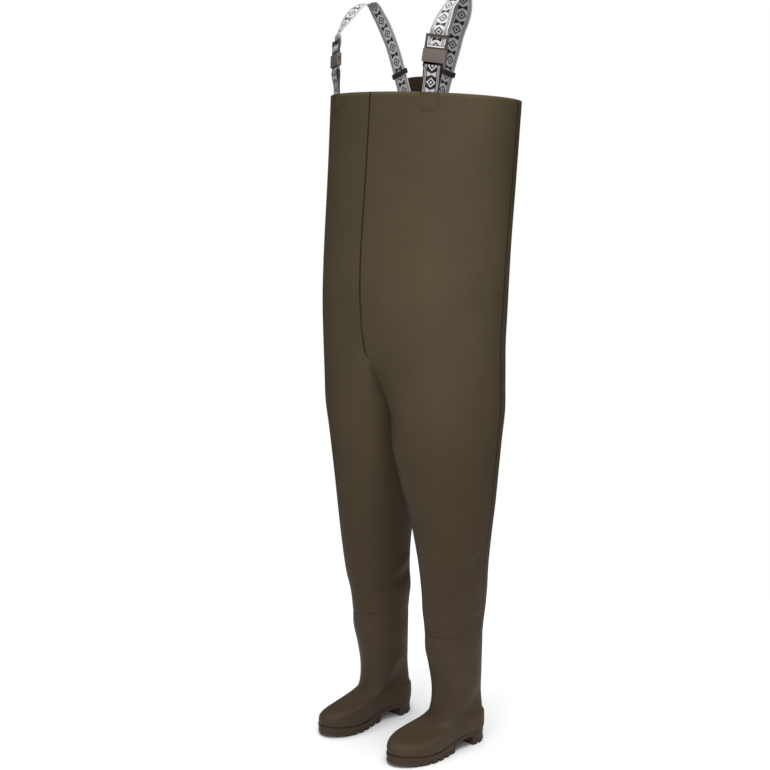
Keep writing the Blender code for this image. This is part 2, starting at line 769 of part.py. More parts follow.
def placed_box(name, matrix, box, material):
    """A box in a frame of its own, to be joined and cut."""
    item = mesh_object(name, *box_mesh([box]), material, smooth=False)
    item.matrix_world = matrix
    return item


def socket(name, matrix, material):
    """The socket of a side-release buckle: a body with a pocket, side windows and a bar for the loop."""
    half, deep = BUCKLE_WIDTH / 2, SOCKET_DEPTH / 2
    loop_half = WEBBING_WIDTH / 2 + WEB_ROOM
    outer = loop_half + RAIL
    pocket = PRONG_DEPTH / 2 + GAP
    low, high = PRONG_LOW - BARB_ROOM, BARB_HIGH + BARB_ROOM
    bar_low, bar_high = BAR_RISE - BAR_HALF, BAR_RISE + BAR_HALF
    body = placed_box(
        name, matrix, box_between((-half, half), (SOCKET_LOW, SOCKET_HIGH), (-deep, deep)), material
    )
    loop = box_between((-outer, outer), (bar_low, SOCKET_LOW + RAIL), (-BAR_HALF, BAR_HALF))
    join(body, name + "_loop", [loop], matrix)
    slot = box_between((-loop_half, loop_half), (bar_high, SOCKET_LOW - GAP), (-2 * deep, 2 * deep))
    cut(body, name + "_slot", [slot], matrix)
    room = box_between((-POCKET_HALF, POCKET_HALF), (low, SOCKET_HIGH + RAIL), (-pocket, pocket))
    cut(body, name + "_pocket", [room], matrix)
    windows = twin_boxes((POCKET_HALF - RAIL, half + RAIL), (low, high), (-pocket, pocket))
    cut(body, name + "_windows", windows, matrix)
    return body


def plug(name, matrix, material):
    """The plug of a side-release buckle: an adjuster frame with a middle bar, and two barbed prongs."""
    loop_half = WEBBING_WIDTH / 2 + WEB_ROOM
    outer = loop_half + 2 * RAIL
    low = SOCKET_HIGH + GAP
    thin = PRONG_DEPTH / 2
    prong_outer = POCKET_HALF - BARB_ROOM
    body = placed_box(
        name, matrix, box_between((-outer, outer), (low, PLUG_HIGH), (-BAR_HALF, BAR_HALF)), material
    )
    window = box_between(
        (-loop_half, loop_half), (low + PLUG_SHOULDER, TOP_BAR_LOW), (-SOCKET_DEPTH, SOCKET_DEPTH)
    )
    cut(body, name + "_window", [window], matrix)
    bar = box_between(
        (-loop_half - RAIL, loop_half + RAIL), (MIDDLE_BAR_LOW, MIDDLE_BAR_HIGH),
        (-MIDDLE_BAR_HALF, MIDDLE_BAR_HALF),
    )
    join(body, name + "_bar", [bar], matrix)
    prongs = twin_boxes((prong_outer - PRONG_WIDTH, prong_outer), (PRONG_LOW, low + RAIL), (-thin, thin))
    join(body, name + "_prongs", prongs, matrix)
    barbs = twin_boxes(
        (prong_outer - RAIL, BUCKLE_WIDTH / 2 - BARB_ROOM), (PRONG_LOW, BARB_HIGH), (GAP - thin, thin - GAP)
    )
    join(body, name + "_barbs", barbs, matrix)
    return body


def ladder_route():
    """The long webbing through its adjuster: up behind, round the middle bar, and up behind the top bar."""
    reach = WEBBING_THICKNESS / 2 + LADDER_ROOM
    front = MIDDLE_BAR_HALF + reach
    behind = BAR_HALF + reach
    tail = behind + WEBBING_THICKNESS + 2 * GAP
    middle = (MIDDLE_BAR_LOW + MIDDLE_BAR_HIGH) / 2
    top = (TOP_BAR_LOW + PLUG_HIGH) / 2
    return np.array([
        (0, PLUG_HIGH + TAIL_LENGTH, -tail),
        (0, top, -tail),
        (0, TOP_BAR_LOW - reach, -tail),
        (0, MIDDLE_BAR_HIGH + 2 * reach, -front - reach),
        (0, middle, -front),
        (0, MIDDLE_BAR_LOW - 0.7 * reach, -0.75 * front),
        (0, MIDDLE_BAR_LOW - 1.05 * reach, 0),
        (0, MIDDLE_BAR_LOW - 0.7 * reach, 0.75 * front),
        (0, middle, front),
        (0, MIDDLE_BAR_HIGH + reach, front - 0.1 * reach),
        (0, TOP_BAR_LOW - 1.6 * reach, -behind + 0.9 * reach),
        (0, TOP_BAR_LOW - 0.4 * reach, -behind),
        (0, top, -behind),
        (0, PLUG_HIGH + TAIL_LENGTH + 3 * reach, -behind),
    ])


def brace_path(frame, here, side):
    """The long webbing's path and the way that its width lies, and the place of its slide."""
    ladder = placed(ladder_route(), frame, here)
    rim = rim_height(BODY_Y)
    twist = BRACE_TWIST[side]
    ahead = frame[:, 0]
    level = np.array((1.0, 0, 0))
    turned = np.array((math.cos(twist), side * math.sin(twist), 0))
    halfway = unit(level + turned)
    front = BODY_Y - YOKE_THICKNESS / 2 - GAP - WEBBING_THICKNESS / 2
    start = ladder[-1]
    low = np.array((side * YOKE_JOIN, front, rim + YOKE_RISE - STITCHED_END))
    run = unit((side * SLIDE_LEAN, 0, STITCHED_END))
    flat = unit(np.cross(run, (0, -1.0, 0)))
    top = low + run * (STITCHED_END + SLIDE_HEIGHT + 2 * SLIDE_MARGIN)
    shoulder = np.array((side * BRACE_SPREAD, BODY_Y - 0.66 * BRACE_SWEEP, rim + 0.84 * BRACE_RISE))
    over = [
        (start, ahead),
        (start + 0.15 * (shoulder - start), ahead),
        (shoulder, level),
        ((side * 0.985 * BRACE_SPREAD, BODY_Y - 0.42 * BRACE_SWEEP, rim + 0.955 * BRACE_RISE), level),
        ((side * 0.94 * BRACE_SPREAD, BODY_Y - 0.22 * BRACE_SWEEP, rim + 0.975 * BRACE_RISE), halfway),
        ((side * 0.85 * BRACE_SPREAD, BODY_Y - 0.10 * BRACE_SWEEP, rim + 0.84 * BRACE_RISE), turned),
        ((side * 0.66 * BRACE_SPREAD, BODY_Y - 0.06 * BRACE_SWEEP, rim + 0.60 * BRACE_RISE), turned),
        (top + run * SLIDE_HEIGHT, flat),
        (top, flat),
    ]
    points = smooth_path([p for p, _ in over], BRACE_POINTS)
    widths = smooth_path([p for p, _ in over], BRACE_POINTS, [w for _, w in over])
    middle = low + run * (STITCHED_END + SLIDE_MARGIN + SLIDE_HEIGHT / 2)
    path = np.vstack([ladder[:-1], points, low + run * STITCHED_END, low])
    widths = np.vstack([np.repeat(ahead[None], len(ladder) - 1, axis=0), widths, flat, flat])
    return path, widths, (middle, np.column_stack([flat, run, np.cross(flat, run)]))


def long_strap(name, path, widths, material):
    """The long webbing over the shoulder."""
    outward = np.cross(widths, np.gradient(path, axis=0))
    return band(name, path, outward, WEBBING_WIDTH, WEBBING_THICKNESS, material)


def slide(name, middle, frame, material):
    """The slide on the back end of a brace, round the webbing just above the yoke."""
    matrix = world_matrix(frame, middle)
    room = WEBBING_THICKNESS / 2 + SLIDE_ROOM
    half = WEBBING_WIDTH / 2 + WEB_ROOM
    outer, deep = half + RAIL, room + RAIL
    block = box_between((-outer, outer), (-SLIDE_HEIGHT / 2, SLIDE_HEIGHT / 2), (-deep, deep))
    body = placed_box(name, matrix, block, material)
    slot = box_between((-half, half), (-SLIDE_HEIGHT, SLIDE_HEIGHT), (-room, room))
    cut(body, name + "_slot", [slot], matrix)
    return body


def yoke(material):
    """The patch between the shoulders that both braces end on."""
    angles = np.linspace(0, 2 * math.pi, YOKE_POINTS, endpoint=False)
    up = np.sign(np.cos(angles)) * np.abs(np.cos(angles)) ** 0.5
    out = np.sign(np.sin(angles)) * np.abs(np.sin(angles)) ** 0.5
    half = YOKE_BOTTOM / 2 + (YOKE_TOP - YOKE_BOTTOM) / 2 * (up + 1) / 2
    z = rim_height(BODY_Y) + YOKE_RISE - YOKE_HEIGHT / 2 + up * YOKE_HEIGHT / 2
    sides = (BODY_Y - YOKE_THICKNESS / 2, BODY_Y + YOKE_THICKNESS / 2)
    rings = [np.stack([out * half, 0 * z + y, z], -1) for y in sides]
    return mesh_object("yoke", *grid_solid(rings), material)


def back_strap(rows, depth, frame, here, material):
    """The single strap: up inside the back from its weld, then forward and up behind the yoke."""
    t = WEBBING_THICKNESS
    inside = -(depth + GAP + t / 2)
    heights = (-ANCHOR_DROP, 0, BACK_BEND / 4)
    weld = placed([(0, up, inside) for up in heights], frame, here)
    behind = BODY_Y + YOKE_THICKNESS / 2 + GAP + t / 2
    top = rim_height(BODY_Y) + YOKE_RISE - YOKE_HEIGHT
    span = weld[-1][1] - behind
    bend = BACK_BEND
    points = [
        *weld[1:],
        (0, behind + span - bend * 0.5, weld[-1][2] + bend * 0.15),
        (0, behind + span * 0.55, weld[-1][2] + bend * 0.15),
        (0, behind + bend, top - bend * 0.3),
        (0, behind + bend * 0.2, top + bend * 0.2),
        (0, behind, top + bend * 0.8),
    ]
    path = np.vstack([weld[0], smooth_path(points, BACK_POINTS), (0, behind, top + bend * 1.8)])
    path[:, 0] = 0
    outward = np.cross(np.gradient(path, axis=0), (1, 0, 0))
    return band("strap_back", path, outward, WEBBING_WIDTH, t, material)


def patch(name, rows, column, side, material):
    """A welded patch below the rim, with a rounded lower end."""
    rise = np.linalg.norm(shell_spot(rows, 0, column)[0] - shell_spot(rows, 1, column)[0])
    pitch = np.linalg.norm(shell_spot(rows, 0, column - 1)[0] - shell_spot(rows, 0, column)[0])
    half = PATCH_WIDTH / 2 / pitch

    def columns_at(row):
        low = row * rise / PATCH_HEIGHT
        narrow = math.sqrt(1 - (1 - PATCH_TIP) * max(0.0, (low - 0.6) / 0.4) ** 2)
        return tuple(column + half * narrow * s for s in (-1, -0.5, 0, 0.5, 1))

    row_list = [s * PATCH_HEIGHT / rise for s in (0.04, 0.35, 0.6, 0.75, 0.88, 0.96, 1.0)]
    return overlay(name, rows, row_list, columns_at, PATCH_THICKNESS, material, side)


def clear_scene():
    for item in list(bpy.data.objects):
        bpy.data.objects.remove(item, do_unlink=True)


def main():
    clear_scene()
    coated = paint("coated_fabric", (0.083, 0.065, 0.040), 0.42)
    tape = paint("weld_tape", (0.078, 0.061, 0.038), 0.38)
    moulded = paint("moulded_pvc", (0.070, 0.054, 0.034), 0.36)
    tread = paint("sole_pvc", (0.055, 0.043, 0.028), 0.55)
    felt = paint("footbed", (0.030, 0.030, 0.030), 0.95)
    webbing = paint("webbing", (0.520, 0.520, 0.530), 0.85)
    plastic = paint("buckle_plastic", (0.035, 0.036, 0.040), 0.40)
    rows = shell_rows()
    leg_rows = len(rows) - 1
    shell(coated)
    torso_rows = len(half_shell()[0]) - 1
    seam("seam_front", rows, 0, 0, torso_rows, tape)
    seam("seam_back", rows, OUTER, 1, torso_rows, tape)
    for side, tag in ((1, "left"), (-1, "right")):
        seam("seam_side_" + tag, rows, SIDE_COLUMN, 0, leg_rows, tape, side)
        patch("patch_front_" + tag, rows, ANCHOR_COLUMN, side, tape)
        boot("boot_" + tag, side, moulded)
        outsole("outsole_" + tag, side, tread)
        insole("insole_" + tag, side, felt)
        frame, here = anchor_frame(rows, ANCHOR_COLUMN, side)
        depth = webbing_depth(rows, ANCHOR_COLUMN, side, frame, here)
        turned = tilted(frame, side * BUCKLE_TILT)
        short_strap("strap_lower_" + tag, frame, turned, here, depth, webbing)
        matrix = world_matrix(turned, here)
        socket("buckle_socket_" + tag, matrix, plastic)
        plug("buckle_plug_" + tag, matrix, plastic)
        path, widths, seat = brace_path(turned, here, side)
        long_strap("strap_long_" + tag, path, widths, webbing)
        slide("slide_" + tag, *seat, plastic)
    patch("patch_back", rows, OUTER, 1, tape)
    yoke(moulded)
    frame, here = anchor_frame(rows, OUTER, 1)
    back_strap(rows, webbing_depth(rows, OUTER, 1, frame, here), frame, here, webbing)


main()
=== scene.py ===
"""Looks of a chest wader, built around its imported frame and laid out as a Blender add-on.

Metres, +Z up. The wader faces -Y, and the wearer's left is +X. Run it as a script; it isn't installed.
"""

import math

import bmesh
import bpy
import numpy as np
from bpy.props import FloatProperty, FloatVectorProperty, IntProperty, PointerProperty
from mathutils import Matrix


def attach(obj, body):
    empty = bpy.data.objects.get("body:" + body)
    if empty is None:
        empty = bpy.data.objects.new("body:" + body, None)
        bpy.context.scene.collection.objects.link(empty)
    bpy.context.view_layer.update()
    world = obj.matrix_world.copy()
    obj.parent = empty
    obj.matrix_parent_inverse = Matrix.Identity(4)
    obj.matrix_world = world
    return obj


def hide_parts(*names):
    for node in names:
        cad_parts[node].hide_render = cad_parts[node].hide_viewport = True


bl_info = {
    "name": "Chest Wader",
    "version": (1, 0, 0),
    "blender": (4, 5, 0),
    "location": "3D View > Sidebar > Wader",
    "description": "Coated skin, welded seams, moulded boots and webbing braces of a chest wader",
    "category": "Object",
}

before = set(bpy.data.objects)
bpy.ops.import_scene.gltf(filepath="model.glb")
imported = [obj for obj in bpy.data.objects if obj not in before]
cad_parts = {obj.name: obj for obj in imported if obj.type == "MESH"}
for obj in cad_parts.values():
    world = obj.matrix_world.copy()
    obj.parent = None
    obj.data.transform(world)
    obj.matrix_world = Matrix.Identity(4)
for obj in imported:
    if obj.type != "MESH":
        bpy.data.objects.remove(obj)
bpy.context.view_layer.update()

# Columns run round each leg: from the front seam over the outer side to the back seam, and back inside.
OUTER = 24
AROUND = 32
QUARTER = math.radians(45)
SIDE_COLUMN = 14
ANCHOR_COLUMN = 5
ANCHOR_ANGLE = math.radians(35.8)
FINE = 4

# Torso rings. up: share of the way from the fork to the rim; width, depth: shares of the chest's half
# width and depth; forward: the centre, cleft: how far the seams sink, as shares of the half depth.
TORSO_RINGS = (
    # up    width  depth  forward cleft
    (0.00, 0.940, 1.060, 0.20, 0.12),
    (0.18, 0.960, 1.050, 0.19, 0.04),
    (0.40, 0.970, 1.030, 0.15, 0.01),
    (0.70, 0.985, 1.010, 0.07, 0.00),
    (1.00, 1.000, 1.000, 0.00, 0.00),
)
TORSO_UPS = (1.0, 0.90, 0.78, 0.62, 0.46, 0.30, 0.15)

# Leg rings. down: share of the way from the leg's top to its end; width, depth: shares of the thigh's
# half sizes; out: the centre, as a share of the stance; forward: as a share of the half depth; corner:
# how much fuller the ring is at its inner front.
LEG_RINGS = (
    # down  width  depth  out    forward corner
    (0.00, 1.000, 1.000, 0.967, 0.215, 0.10),
    (0.20, 0.900, 0.900, 0.987, 0.205, 0.17),
    (0.42, 0.790, 0.790, 1.020, 0.197, 0.07),
    (0.66, 0.680, 0.690, 1.022, 0.200, -0.07),
    (0.86, 0.610, 0.615, 1.022, 0.155, -0.05),
)
LEG_DOWNS = (0.0, 0.14, 0.28, 0.42, 0.56, 0.70, 0.82)

# The leg's lower end on the boot. up: height over its edge; loose: its distance from the boot.
SLEEVE = ((0.044, 0.0038), (0.022, 0.0010), (0.000, -0.0009))

# Outline of the foot. along: share of its length from the heel; lateral, medial: fullness of that side.
FOOT_OUTLINE = (
    # along lateral medial
    (0.00, 1.32, 1.32),
    (0.10, 1.13, 1.13),
    (0.25, 0.83, 0.83),
    (0.40, 0.76, 0.66),
    (0.55, 0.90, 0.80),
    (0.68, 1.06, 1.04),
    (0.85, 1.16, 1.18),
    (1.00, 1.20, 1.20),
)

# Boot rings from the feather line up. toe, heel: front and back ends, as shares of the boot's length;
# toe_up, heel_up: their heights, as shares of its height; width: share of the full width; foot: 1 for
# the outline of the foot, 0 for an oval.
BOOT_RINGS = (
    # toe    toe_up heel   heel_up width  foot
    (0.984, 0.000, 0.018, 0.000, 0.965, 1.00),
    (0.992, 0.040, 0.014, 0.050, 0.985, 1.00),
    (0.965, 0.078, 0.015, 0.110, 0.960, 1.00),
    (0.885, 0.094, 0.019, 0.168, 0.900, 1.00),
    (0.755, 0.099, 0.026, 0.226, 0.830, 0.95),
    (0.632, 0.111, 0.034, 0.280, 0.785, 0.80),
    (0.541, 0.144, 0.044, 0.334, 0.790, 0.60),
    (0.500, 0.220, 0.052, 0.392, 0.825, 0.35),
    (0.485, 0.340, 0.058, 0.468, 0.870, 0.12),
    (0.520, 0.560, 0.060, 0.592, 0.920, 0.00),
    (0.562, 0.740, 0.057, 0.750, 0.975, 0.00),
)

# Height of the counter at the heel, and the height over which its step fades there.
COUNTER_TOP = 0.080
COUNTER_FADE = 0.011

# Side of the sole from the top down. out: steps out in ledges; share: height as a share of the side.
SOLE_SIDE = (
    # out   share
    (0.90, 1.00),
    (1.00, 0.97),
    (1.00, 0.77),
    (0.92, 0.73),
    (0.48, 0.68),
    (0.42, 0.60),
    (0.42, 0.36),
    (0.50, 0.30),
    (0.72, 0.25),
    (0.78, 0.20),
    (0.78, 0.02),
    (0.72, 0.00),
)

# Anchors of the braces on the rim: a point on the rim, up along the strap, outwards, and how far inside
# the tangent plane the wall's inner face comes. The front one is the left; the right mirrors it.
FRONT_ANCHOR = (
    (0.148345, -0.105419, 1.478673),
    (0.013893, 0.076537, 0.99697),
    (0.421059, -0.904801, 0.063594),
    0.001675,
)
BACK_ANCHOR = ((0.0, 0.1858, 1.452608), (0.0, 0.060007, 0.998198), (0.0, 0.998198, -0.060007), 0.00161)

# Heights along the strap over its anchor: how far it is tucked inside the bib, the socket's bar, the
# lower edge, middle and upper edge of the adjuster's middle bar, the lower edge and middle of its top
# bar, and the frame's end. Then half the thickness of the middle bar and of the other bars.
TUCK = 0.048
SOCKET_BAR = 0.052
MIDDLE_BAR = (0.0965, 0.09825, 0.1)
TOP_BAR = (0.1135, 0.11625)
FRAME_END = 0.128
MIDDLE_BAR_HALF = 0.0015
BAR_HALF = 0.002
BUCKLE_TILT = math.radians(5)

# Gap between pieces that lie on each other.
GAP = 0.0003

# The yoke: half its thickness, its rise over the rim, half its width at its foot, and how much more that
# is at its top. Each long webbing's end lies beside the yoke's middle and is joined over a length, which
# leans outwards; the slide's place along it, and the slide's height, end its flat run.
YOKE_HALF = 0.001
YOKE_RISE = 0.050
YOKE_FOOT = 0.028
YOKE_FLARE = 0.047
YOKE_JOIN = 0.050
STITCHED_END = 0.060
SLIDE_LEAN = 0.022
SLIDE_TOP = 0.083
SLIDE_HEIGHT = 0.011

# Bend of the single strap at the back, and points along it and along each brace.
BACK_BEND = 0.024
BACK_POINTS = 16
BRACE_POINTS = 24

# The brace over the shoulder, from front to back. spread, sweep, rise: shares of the brace's; turned: 0
# where it lies level, 1 where it has its whole twist, which only the left one has.
SHOULDER_TWIST = math.radians(36)
ARCH = (
    # spread sweep rise  turned
    (1.000, 0.66, 0.840, 0.0),
    (0.985, 0.42, 0.955, 0.0),
    (0.940, 0.22, 0.975, 0.5),
    (0.850, 0.10, 0.840, 1.0),
    (0.660, 0.06, 0.600, 1.0),
)

# Soft creases of the coated fabric, placed on the legs. side: 1 left, -1 right; points: column
# round the leg and height; width: half width of the fold; rise: height of a ridge, or under 0 a trough.
CREASES = (
    # side points (column, height)                                            width   rise
    (1, ((12.2, 0.505), (9.8, 0.455), (8.0, 0.405), (5.8, 0.392)), 0.015, 0.0042),
    (1, ((13.0, 0.470), (10.8, 0.425), (9.0, 0.385), (7.0, 0.368)), 0.016, -0.0055),
    (1, ((14.0, 0.336), (10.5, 0.334), (7.6, 0.326)), 0.010, 0.0026),
    (-1, ((5.0, 0.430), (1.0, 0.441), (-1.6, 0.441)), 0.009, -0.0022),
    (-1, ((-7.6, 0.366), (-4.2, 0.356), (-1.8, 0.338), (0.2, 0.318)), 0.013, -0.0055),
    (-1, ((-7.4, 0.398), (-4.2, 0.392), (-1.6, 0.372)), 0.012, 0.0032),
)


def linear(code):
    """An sRGB hex colour as linear RGB."""
    values = np.array([int(code[i : i + 2], 16) / 255 for i in (0, 2, 4)])
    return tuple(np.where(values <= 0.04045, values / 12.92, ((values + 0.055) / 1.055) ** 2.4))


def size(name, text, default):
    """A length in metres that a user may change."""
    return FloatProperty(name=name, description=text, default=default, unit="LENGTH", precision=4)


def colour(name, text, code):
    """A colour that a user may change, from its sRGB hex value."""
    return FloatVectorProperty(
        name=name, description=text, default=linear(code), subtype="COLOR", size=3, min=0.0, max=1.0
    )


class WaderBody(bpy.types.PropertyGroup):
    """Sizes and colours of the coated body."""

    rim_height: size("Rim height", "Height of the rim at the body's axis", 1.467)
    rim_rise: FloatProperty(name="Rim rise", description="Slope of the rim towards the front", default=0.0895)
    axis_y: size("Axis", "The body's axis behind the feet's middle", 0.025)
    chest_width: size("Chest half width", "Half width at the rim", 0.2536)
    chest_depth: size("Chest half depth", "Half depth at the rim", 0.1608)
    fork_front: size("Front fork", "Height where the front seam parts", 0.945)
    fork_back: size("Back fork", "Height where the back seam parts", 0.925)
    crotch: size("Crotch", "Lowest height of the crotch seam", 0.855)
    leg_top: size("Leg top", "Height where the legs are apart", 0.790)
    leg_end: size("Leg end", "Height of the leg's lower edge on the boot", 0.274)
    overlap: size("Overlap", "How far the leg reaches down over the boot's shaft", 0.040)
    stance: size("Stance", "Half the distance between the feet", 0.122)
    thigh_width: size("Thigh half width", "Half width of the leg at its top", 0.112)
    thigh_depth: size("Thigh half depth", "Half depth of the leg at its top", 0.132)
    wall: size("Wall", "Thickness of the coated fabric", 0.0009)
    seam_width: size("Seam width", "Width of a welded seam", 0.005)
    seam_height: size("Seam height", "Height of a welded seam", 0.0008)
    fabric: colour("Fabric", "Colour of the coated fabric", "5A503D")
    # The fabric's colour at the shins is darkened by painted shade, where less light falls lower down.
    fabric_low_painted_shade: colour("Fabric low", "Colour of the coated fabric at the shins", "43382B")
    # The seams' colour is darker than the fabric's: painted shade of the groove along each weld.
    tape_painted_shade: colour("Tape", "Colour of the welded seams", "352B20")


class WaderBoots(bpy.types.PropertyGroup):
    """Sizes and colours of the boots."""

    length: size("Boot length", "Length of the boot", 0.286)
    ball: size("Ball width", "Width of the boot at the ball", 0.108)
    heel_y: size("Heel", "Back of the heel", 0.0966)
    wall: size("Boot wall", "Thickness of the boot's wall", 0.0028)
    shaft: size("Shaft half width", "Half width of the shaft", 0.0615)
    counter: size("Counter", "Step of the heel's counter", 0.0040)
    ledge: size("Ledge", "How far the sole stands out past the boot", 0.0017)
    heel_seat: size("Heel seat", "Height of the sole under the heel", 0.034)
    ball_seat: size("Ball seat", "Height of the sole under the ball", 0.019)
    toe_seat: size("Toe seat", "Height of the sole at the toe", 0.026)
    lug: size("Lug depth", "Depth of the grooves between the cleats", 0.006)
    lug_pitch: size("Lug pitch", "Distance from cleat to cleat", 0.0225)
    lug_length: size("Lug length", "Length of a cleat", 0.0135)
    waist: size("Waist", "Height of the arch between heel and forefoot", 0.021)
    spring: size("Toe spring", "Rise of the sole at the toe", 0.009)
    moulded: colour("Boot", "Colour of the moulded boot", "43382B")
    tread: colour("Sole", "Colour of the sole", "3F3429")
    felt: colour("Footbed", "Colour of the footbed", "2B2A2A")


class WaderBraces(bpy.types.PropertyGroup):
    """Sizes and colours of the braces."""

    width: size("Webbing width", "Width of the webbing", 0.040)
    thickness: size("Webbing thickness", "Thickness of the webbing", 0.0014)
    motif: size("Motif", "Repeat of the woven motif along the webbing", 0.034)
    rise: size("Brace rise", "Height of the shoulder over the rim", 0.218)
    spread: size("Brace spread", "Half the distance between the shoulders", 0.152)
    sweep: size("Brace sweep", "Depth of the brace over the shoulder", 0.125)
    yoke_height: size("Yoke height", "Height of the yoke", 0.085)
    pale: colour("Pale yarn", "Pale yarn of the webbing", "ECEAEB")
    dark: colour("Dark yarn", "Dark yarn of the webbing", "2C2422")
    acetal: colour("Buckle", "Colour of the buckles' bodies", "7A716C")
    acetal_dark: colour("Frames", "Colour of the adjuster frames", "5C524D")
    acetal_slide: colour("Slides", "Colour of the slides", "443A36")


class WaderStage(bpy.types.PropertyGroup):
    """Camera and light."""

    distance: size("Distance", "Camera's distance from the body's axis", 3.4495)
    height: size("Height", "Camera's height", 1.4054)
    azimuth: FloatProperty(
        name="Azimuth", description="Camera's angle from the front towards the wearer's left",
        default=math.radians(45.34), unit="ROTATION",
    )
    pan: FloatProperty(
        name="Pan", description="Camera's turn to the right", default=-0.0249, unit="ROTATION", precision=4
    )
    tilt: FloatProperty(
        name="Tilt", description="Camera's turn upwards", default=-0.167, unit="ROTATION", precision=4
    )
    lens: FloatProperty(name="Lens", description="Focal length on a 36 mm sensor", default=71.42)
    sky: FloatProperty(name="Sky", description="Light from the white surroundings", default=0.07)
    key: FloatProperty(name="Key light", description="Power of the large front light", default=92.0)
    sun: FloatProperty(name="Overhead light", description="Strength of the soft overhead light", default=3.5)
    points: IntProperty(name="Floor points", description="Points round the floor", default=96)


def eased(x, table, column):
    """A column of a table at x: a cubic through its rows; each slope is the mean of those beside it."""
    table = np.array(table, float)
    xs, ys = table[:, 0], table[:, column]
    steps = np.diff(ys) / np.diff(xs)
    slopes = np.concatenate([[steps[0]], (steps[:-1] + steps[1:]) / 2, [steps[-1]]])
    x = np.clip(np.asarray(x, float), xs[0], xs[-1])
    i = np.clip(np.searchsorted(xs, x) - 1, 0, len(xs) - 2)
    span = xs[i + 1] - xs[i]
    return hermite(ys[i], slopes[i], ys[i + 1], slopes[i + 1], span, (x - xs[i]) / span)


def hermite(a, slope_a, b, slope_b, span, t):
    """A cubic from a to b over a span, with the given slopes at its ends, at share t."""
    return (
        a * (1 + 2 * t) * (1 - t) ** 2
        + slope_a * span * t * (1 - t) ** 2
        + b * t**2 * (3 - 2 * t)
        + slope_b * span * t**2 * (t - 1)
    )


def bell(distance, width):
    """exp(-(distance / width) squared)."""
    return np.exp(-((distance / width) ** 2))


def ramp(x, low, high):
    """0 under low, 1 over high, and a smooth step between."""
    t = np.clip((x - low) / (high - low), 0, 1)
    return t * t * (3 - 2 * t)


def unit(vector):
    """A vector divided by its length."""
    vector = np.asarray(vector, float)
    return vector / np.linalg.norm(vector)


# The shell's surface.
def torso_ring(s, up, column):
    """An ellipse at a share of the way from the fork to the rim, with the seams sunk between the legs."""
    width, depth, forward, cleft = (eased(up, TORSO_RINGS, c) for c in (1, 2, 3, 4))
    angle = np.interp(column, (0, ANCHOR_COLUMN, OUTER), (0, ANCHOR_ANGLE, math.pi))
    sink = cleft * s.chest_depth * np.cos(angle) * np.abs(np.cos(angle)) ** 9
    x = s.chest_width * width * np.sin(angle)
    y = s.axis_y - s.chest_depth * (depth * np.cos(angle) + forward) + sink
    fork = s.fork_front + (s.fork_back - s.fork_front) * (1 - np.cos(angle)) / 2
    return np.stack([x, y, fork + (rim_height(s, y) - fork) * up], -1)


def rim_height(s, y):
    """Height of the rim, which slopes up towards the front."""
    return s.rim_height + s.rim_rise * (s.axis_y - y)


def fork_ring(s, column):
    """The torso's lowest ring, and inside the leg the seam under the crotch, which dips like 1 - sin."""
    outer = torso_ring(s, 0.0, np.minimum(column, OUTER))
    front, back = torso_ring(s, 0.0, np.array([0.0, OUTER]))
    turn = math.pi * (AROUND - column) / (AROUND - OUTER)
    middle, reach = (front[1] + back[1]) / 2, (back[1] - front[1]) / 2
    end = np.where(turn < math.pi / 2, front[2], back[2])
    dip = np.clip(1 - np.sin(turn), 0, 1) ** 1.1
    inner = np.stack([0 * turn, middle - reach * np.cos(turn), s.crotch + (end - s.crotch) * dip], -1)
    return np.where((column > OUTER)[:, None], inner, outer)


def leg_ring(s, down, column):
    """A level oval at a share of the way down the leg, fuller at its inner front and back."""
    width, depth, out, forward, corner = (eased(down, LEG_RINGS, c) for c in (1, 2, 3, 4, 5))
    angle = -QUARTER + column * 2 * math.pi / AROUND
    front, back = np.cos(angle + QUARTER), np.cos(angle - math.pi - QUARTER)
    fuller = 1 + corner * (np.clip(front, 0, 1) ** 4 + np.clip(back, 0, 1) ** 4 / 2)
    x = s.thigh_width * width * fuller * np.sin(angle) + out * s.stance
    y = s.axis_y - s.thigh_depth * (depth * fuller * np.cos(angle) + forward)
    z = s.leg_top + (s.leg_end - s.leg_top) * down
    return np.stack([x, y, z + 0 * x], -1)


def arched(s, share, column):
    """Between the fork and the leg's first ring; the inner side leaves the crotch in a quarter arch."""
    fork, leg = fork_ring(s, column), leg_ring(s, 0.0, column)
    ring = fork + (leg - fork) * share
    depth = np.where(column > OUTER, np.sin(math.pi * (column - OUTER) / (AROUND - OUTER)), 0)
    arch_x = leg[:, 0] * math.sin(share * math.pi / 2)
    arch_z = fork[:, 2] + (leg[:, 2] - fork[:, 2]) * (1 - math.cos(share * math.pi / 2))
    ring[:, 0] += (arch_x - ring[:, 0]) * depth
    ring[:, 2] += (arch_z - ring[:, 2]) * depth
    return ring


def shaft_section(s, b, height, loose, column):
    """The boot's shaft at a height, set out by the fabric's wall and by how loose it is."""
    ring = boot_ring(s, b, BOOT_RINGS[-1], -QUARTER + column * 2 * math.pi / AROUND)
    middle = ring.mean(axis=0)
    reach = ring - middle
    reach *= 1 + (s.wall + GAP + loose) / np.linalg.norm(reach[:, :2], axis=1)[:, None]
    ring = middle + reach
    ring[:, 2] = height
    return ring


def row_slopes(rows, marks):
    """Slope of each row of points, from the rows beside it, weighted by their distances."""
    steps = np.diff(rows, axis=0) / np.diff(marks)[:, None, None]
    h = np.diff(marks)[:, None, None]
    middle = (steps[:-1] * h[1:] + steps[1:] * h[:-1]) / (h[1:] + h[:-1])
    return np.concatenate([steps[:1], middle, steps[-1:]])


def between_rows(rows, slopes, marks, places):
    """Rows at the given places between marked rows, each point on a cubic down its column."""
    i = np.clip(np.searchsorted(marks, places) - 1, 0, len(marks) - 2)
    span = (marks[i + 1] - marks[i])[:, None, None]
    t = ((places - marks[i]) / (marks[i + 1] - marks[i]))[:, None, None]
    return hermite(rows[i], slopes[i], rows[i + 1], slopes[i + 1], span, t)


